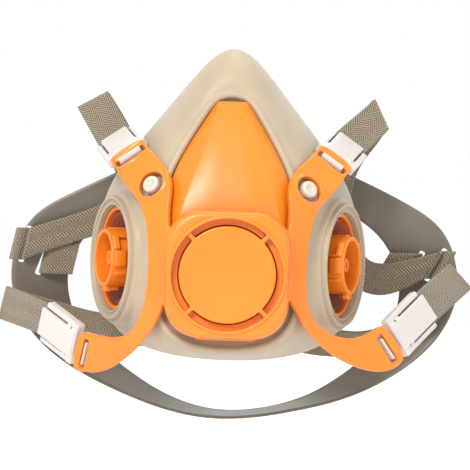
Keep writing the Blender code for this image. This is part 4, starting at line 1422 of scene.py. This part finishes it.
def cradle_threading(side, last):
    """Strap through the outer cradle slot, round the outer bar, and out of the inner slot as a tail."""
    outer = Vector(CRADLE_SLOTS[side][0][0])
    inner = Vector(CRADLE_SLOTS[side][1][0])
    half = Vector(last[1])
    out = Vector((side_sign(side), 0.0, 0.0))
    behind = Vector((0.0, THREAD_BEHIND, 0.0))
    before = Vector((0.0, -THREAD_BEFORE, 0.0))
    tail_end = inner - out * TAIL_LENGTH
    entering = [
        last[0], outer - out * 1.2 + before * 1.2, outer, outer + out * 0.5 + behind * 0.8,
    ]
    wrap = [
        outer + behind * 0.6 + out * 0.4, outer + behind + out * 2.5,
        outer + behind * 0.9 + out * 4.6, outer + out * 5.8,
        outer + before * 0.9 + out * 4.4, outer + before + out * 2.2,
        outer + before * 0.4 + out * 0.3,
    ]
    tail = [
        inner + behind * 0.7 + out * 0.4, inner, inner + before * 0.9 - out * 1.4,
        inner + before * 1.15 - out * 5.0, tail_end + before * 1.1,
    ]
    parts = []
    for number, centres in enumerate((entering, wrap, tail)):
        rows = blended([(centre, half) for centre in centres], 8)
        start = THREAD_WEAVE_START + THREAD_WEAVE_STEP * number
        parts.append(strap_object(f"{side}_thread_{number}", rows, start))
    return parts


def clasp_loop(side):
    """The strap's end, folded round the outer bar of its clasp half."""
    sign = side_sign(side)
    centre = Vector(CLASP_PLACE) + Vector((sign * (CLASP_LENGTH + 0.5), 0.0, 0.0))
    half = Vector((0.0, 0.0, LOOP_HALF_WIDTH * -sign))
    stations = []
    for angle in range(0, 361, 30):
        turn = math.radians(angle)
        offset = (sign * LOOP_RADII[0] * math.cos(turn), LOOP_RADII[1] * math.sin(turn), 0.0)
        stations.append((centre + Vector(offset), half))
    return strap_object(f"{side}_clasp_loop", blended(stations, 4), LOOP_WEAVE_START)


# ---------------------------------------------------------------- head cradle


def cradle_depth(edge):
    """Half the band's thickness: thicker beads along both edges, rounded at the rim."""
    depth = CRADLE_THICKNESS / 2 * (0.72 + 0.55 * max(0.0, edge - 0.72) / 0.28)
    return depth * 0.5 if edge > 0.99 else depth


def cradle_mesh():
    rows = blended(CRADLE_BAND, 8, closed=True)

    def build(shape):
        rings = []
        for number, (centre, half) in enumerate(rows):
            before = rows[number - 1][0]
            after = rows[(number + 1) % len(rows)][0]
            section = band_section(before, centre, after, half, CRADLE_COLUMNS, cradle_depth)
            rings.append([shape.verts.new(mm(place)) for _, _, place in section])
        for number, ring in enumerate(rings):
            bridge(shape, ring, rings[(number + 1) % len(rings)])

    return mesh_from("cradle_band", build)


def make_cradle():
    band = add_object("cradle_band", cradle_mesh())
    subdivide(band, 1)
    band = baked("cradle_cut", band)
    half = CRADLE_SLOT_LENGTH / 2
    width = CRADLE_SLOT_WIDTH / 2
    cutters = []
    for side, slots in CRADLE_SLOTS.items():
        for number, (centre, along) in enumerate(slots):
            slot = rounded_box(
                f"{side}_cradle_slot_{number}", (-half, -width, -6.0), (half, width, 6.0), 0.8, 3,
            )
            cutters.append(put(slot, axes_matrix(centre, along, (1.0, 0.0, 0.0))))
    cut(band, cutters)
    settle("head_cradle_band", band, "grey_plastic", "head_cradle", "head_cradle", 35.0)


# ---------------------------------------------------------------- neck clasp


def hook_finger_outline():
    """The clasp's finger, seen along its hinge: an open ring that reaches through the eye."""
    outer = arc_points(FINGER_OUTER_RADIUS, *FINGER_ARC)
    inner = arc_points(FINGER_INNER_RADIUS, *FINGER_ARC)
    return outer + list(reversed(inner))


def clasp_plate(name, low_x, high_x, windows):
    """A flat plate with rounded edges and windows given as (low x, high x, margin)."""
    half = CLASP_HEIGHT / 2
    wall = CLASP_WALL / 2
    plate = baked(f"{name}_cut", rounded_box(name, (low_x, -half, -wall), (high_x, half, wall), 0.5, 3))
    cutters = [
        rounded_box(
            f"{name}_window_{number}", (low, -half + margin, -4.0), (high, half - margin, 4.0), 0.3, 2,
        )
        for number, (low, high, margin) in enumerate(windows)
    ]
    cut(plate, cutters)
    return plate


def make_neck_clasp():
    place = axes_matrix(CLASP_PLACE, (1.0, 0.0, 0.0), (0.0, 0.0, 1.0))
    outer_bar = CLASP_LENGTH + 1.0
    hook_window = (-CLASP_LENGTH, -CLASP_WINDOW_START, CLASP_SIDE_BAR)
    eye_windows = [
        (CLASP_WINDOW_START, CLASP_LENGTH, CLASP_SIDE_BAR), (*EYE_HOLE, EYE_HOLE_MARGIN),
    ]
    hook = clasp_plate("hook_plate", -outer_bar, HOOK_PLATE_END, [hook_window])
    finger = prism("finger", hook_finger_outline(), -FINGER_HALF_WIDTH, FINGER_HALF_WIDTH)
    round_edges(finger, 0.3, 2, 60.0)
    put(finger, Matrix.Rotation(math.pi / 2, 4, "X"))
    hook = put(merged("hook_all", [hook, finger]), place)
    eye = put(clasp_plate("eye_plate", EYE_PLATE_END, outer_bar, eye_windows), place)
    settle("neck_hook_moulding", hook, "cream_plastic", "root", "neck_hook")
    settle("neck_eye_moulding", eye, "cream_plastic", "neck_eye", "neck_eye")


# ---------------------------------------------------------------- camera, light and floor


def make_camera():
    camera = bpy.data.objects.new("camera", bpy.data.cameras.new("camera"))
    bpy.context.scene.collection.objects.link(camera)
    camera.data.lens = CAMERA_LENS
    camera.data.sensor_width = 36.0
    camera.data.shift_x = CAMERA_SHIFT
    camera.data.clip_end = 20.0
    camera.location = mm(CAMERA_PLACE)
    upright = Matrix.Rotation(math.radians(90.0), 3, "X")
    roll = Matrix.Rotation(math.radians(CAMERA_ROLL), 3, "Z")
    camera.rotation_euler = (upright @ roll).to_euler()
    bpy.context.scene.camera = camera


def add_area_light(name, place, size, power, colour):
    """A square light that points at the middle of the mask."""
    light = bpy.data.lights.new(name, "AREA")
    light.shape = "SQUARE"
    light.size = size
    light.energy = power
    light.color = colour
    item = bpy.data.objects.new(name, light)
    bpy.context.scene.collection.objects.link(item)
    item.location = place
    item.rotation_euler = (Vector(LIGHT_TARGET) - Vector(place)).to_track_quat("-Z", "Y").to_euler()


def make_stage():
    world = bpy.data.worlds.new("studio")
    bpy.context.scene.world = world
    world.use_nodes = True
    backdrop = world.node_tree.nodes["Background"]
    backdrop.inputs["Color"].default_value = (1.0, 1.0, 1.0, 1.0)
    backdrop.inputs["Strength"].default_value = 1.0
    bpy.context.scene.view_settings.view_transform = "Standard"
    for light in LIGHTS:
        add_area_light(*light)
    top = CAD_BOX[0][2] / MM - FLOOR_DROP
    floor = box("floor", (-FLOOR_REACH, -FLOOR_REACH, top - 10.0), (FLOOR_REACH, FLOOR_REACH, top))
    material, tree, shader = new_material("pale_floor", (0.97, 0.97, 0.97), 0.9)
    shades = [(0.4, (0.96, 0.96, 0.96)), (0.6, (0.98, 0.98, 0.98))]
    tree.links.new(ramp(tree, noise(tree, 3.0, 2.0), shades), shader.inputs["Base Color"])
    floor.data.materials.append(material)


def build():
    make_camera()
    make_stage()
    make_facepiece()
    make_nose_shell()
    make_exhalation_valve()
    make_yoke()
    for side in SIDES:
        make_port(side)
        make_stud(side)
    make_buckles()
    for name in BUCKLE_DIRECTIONS:
        make_strap(name)
    make_cradle()
    make_neck_clasp()


build()
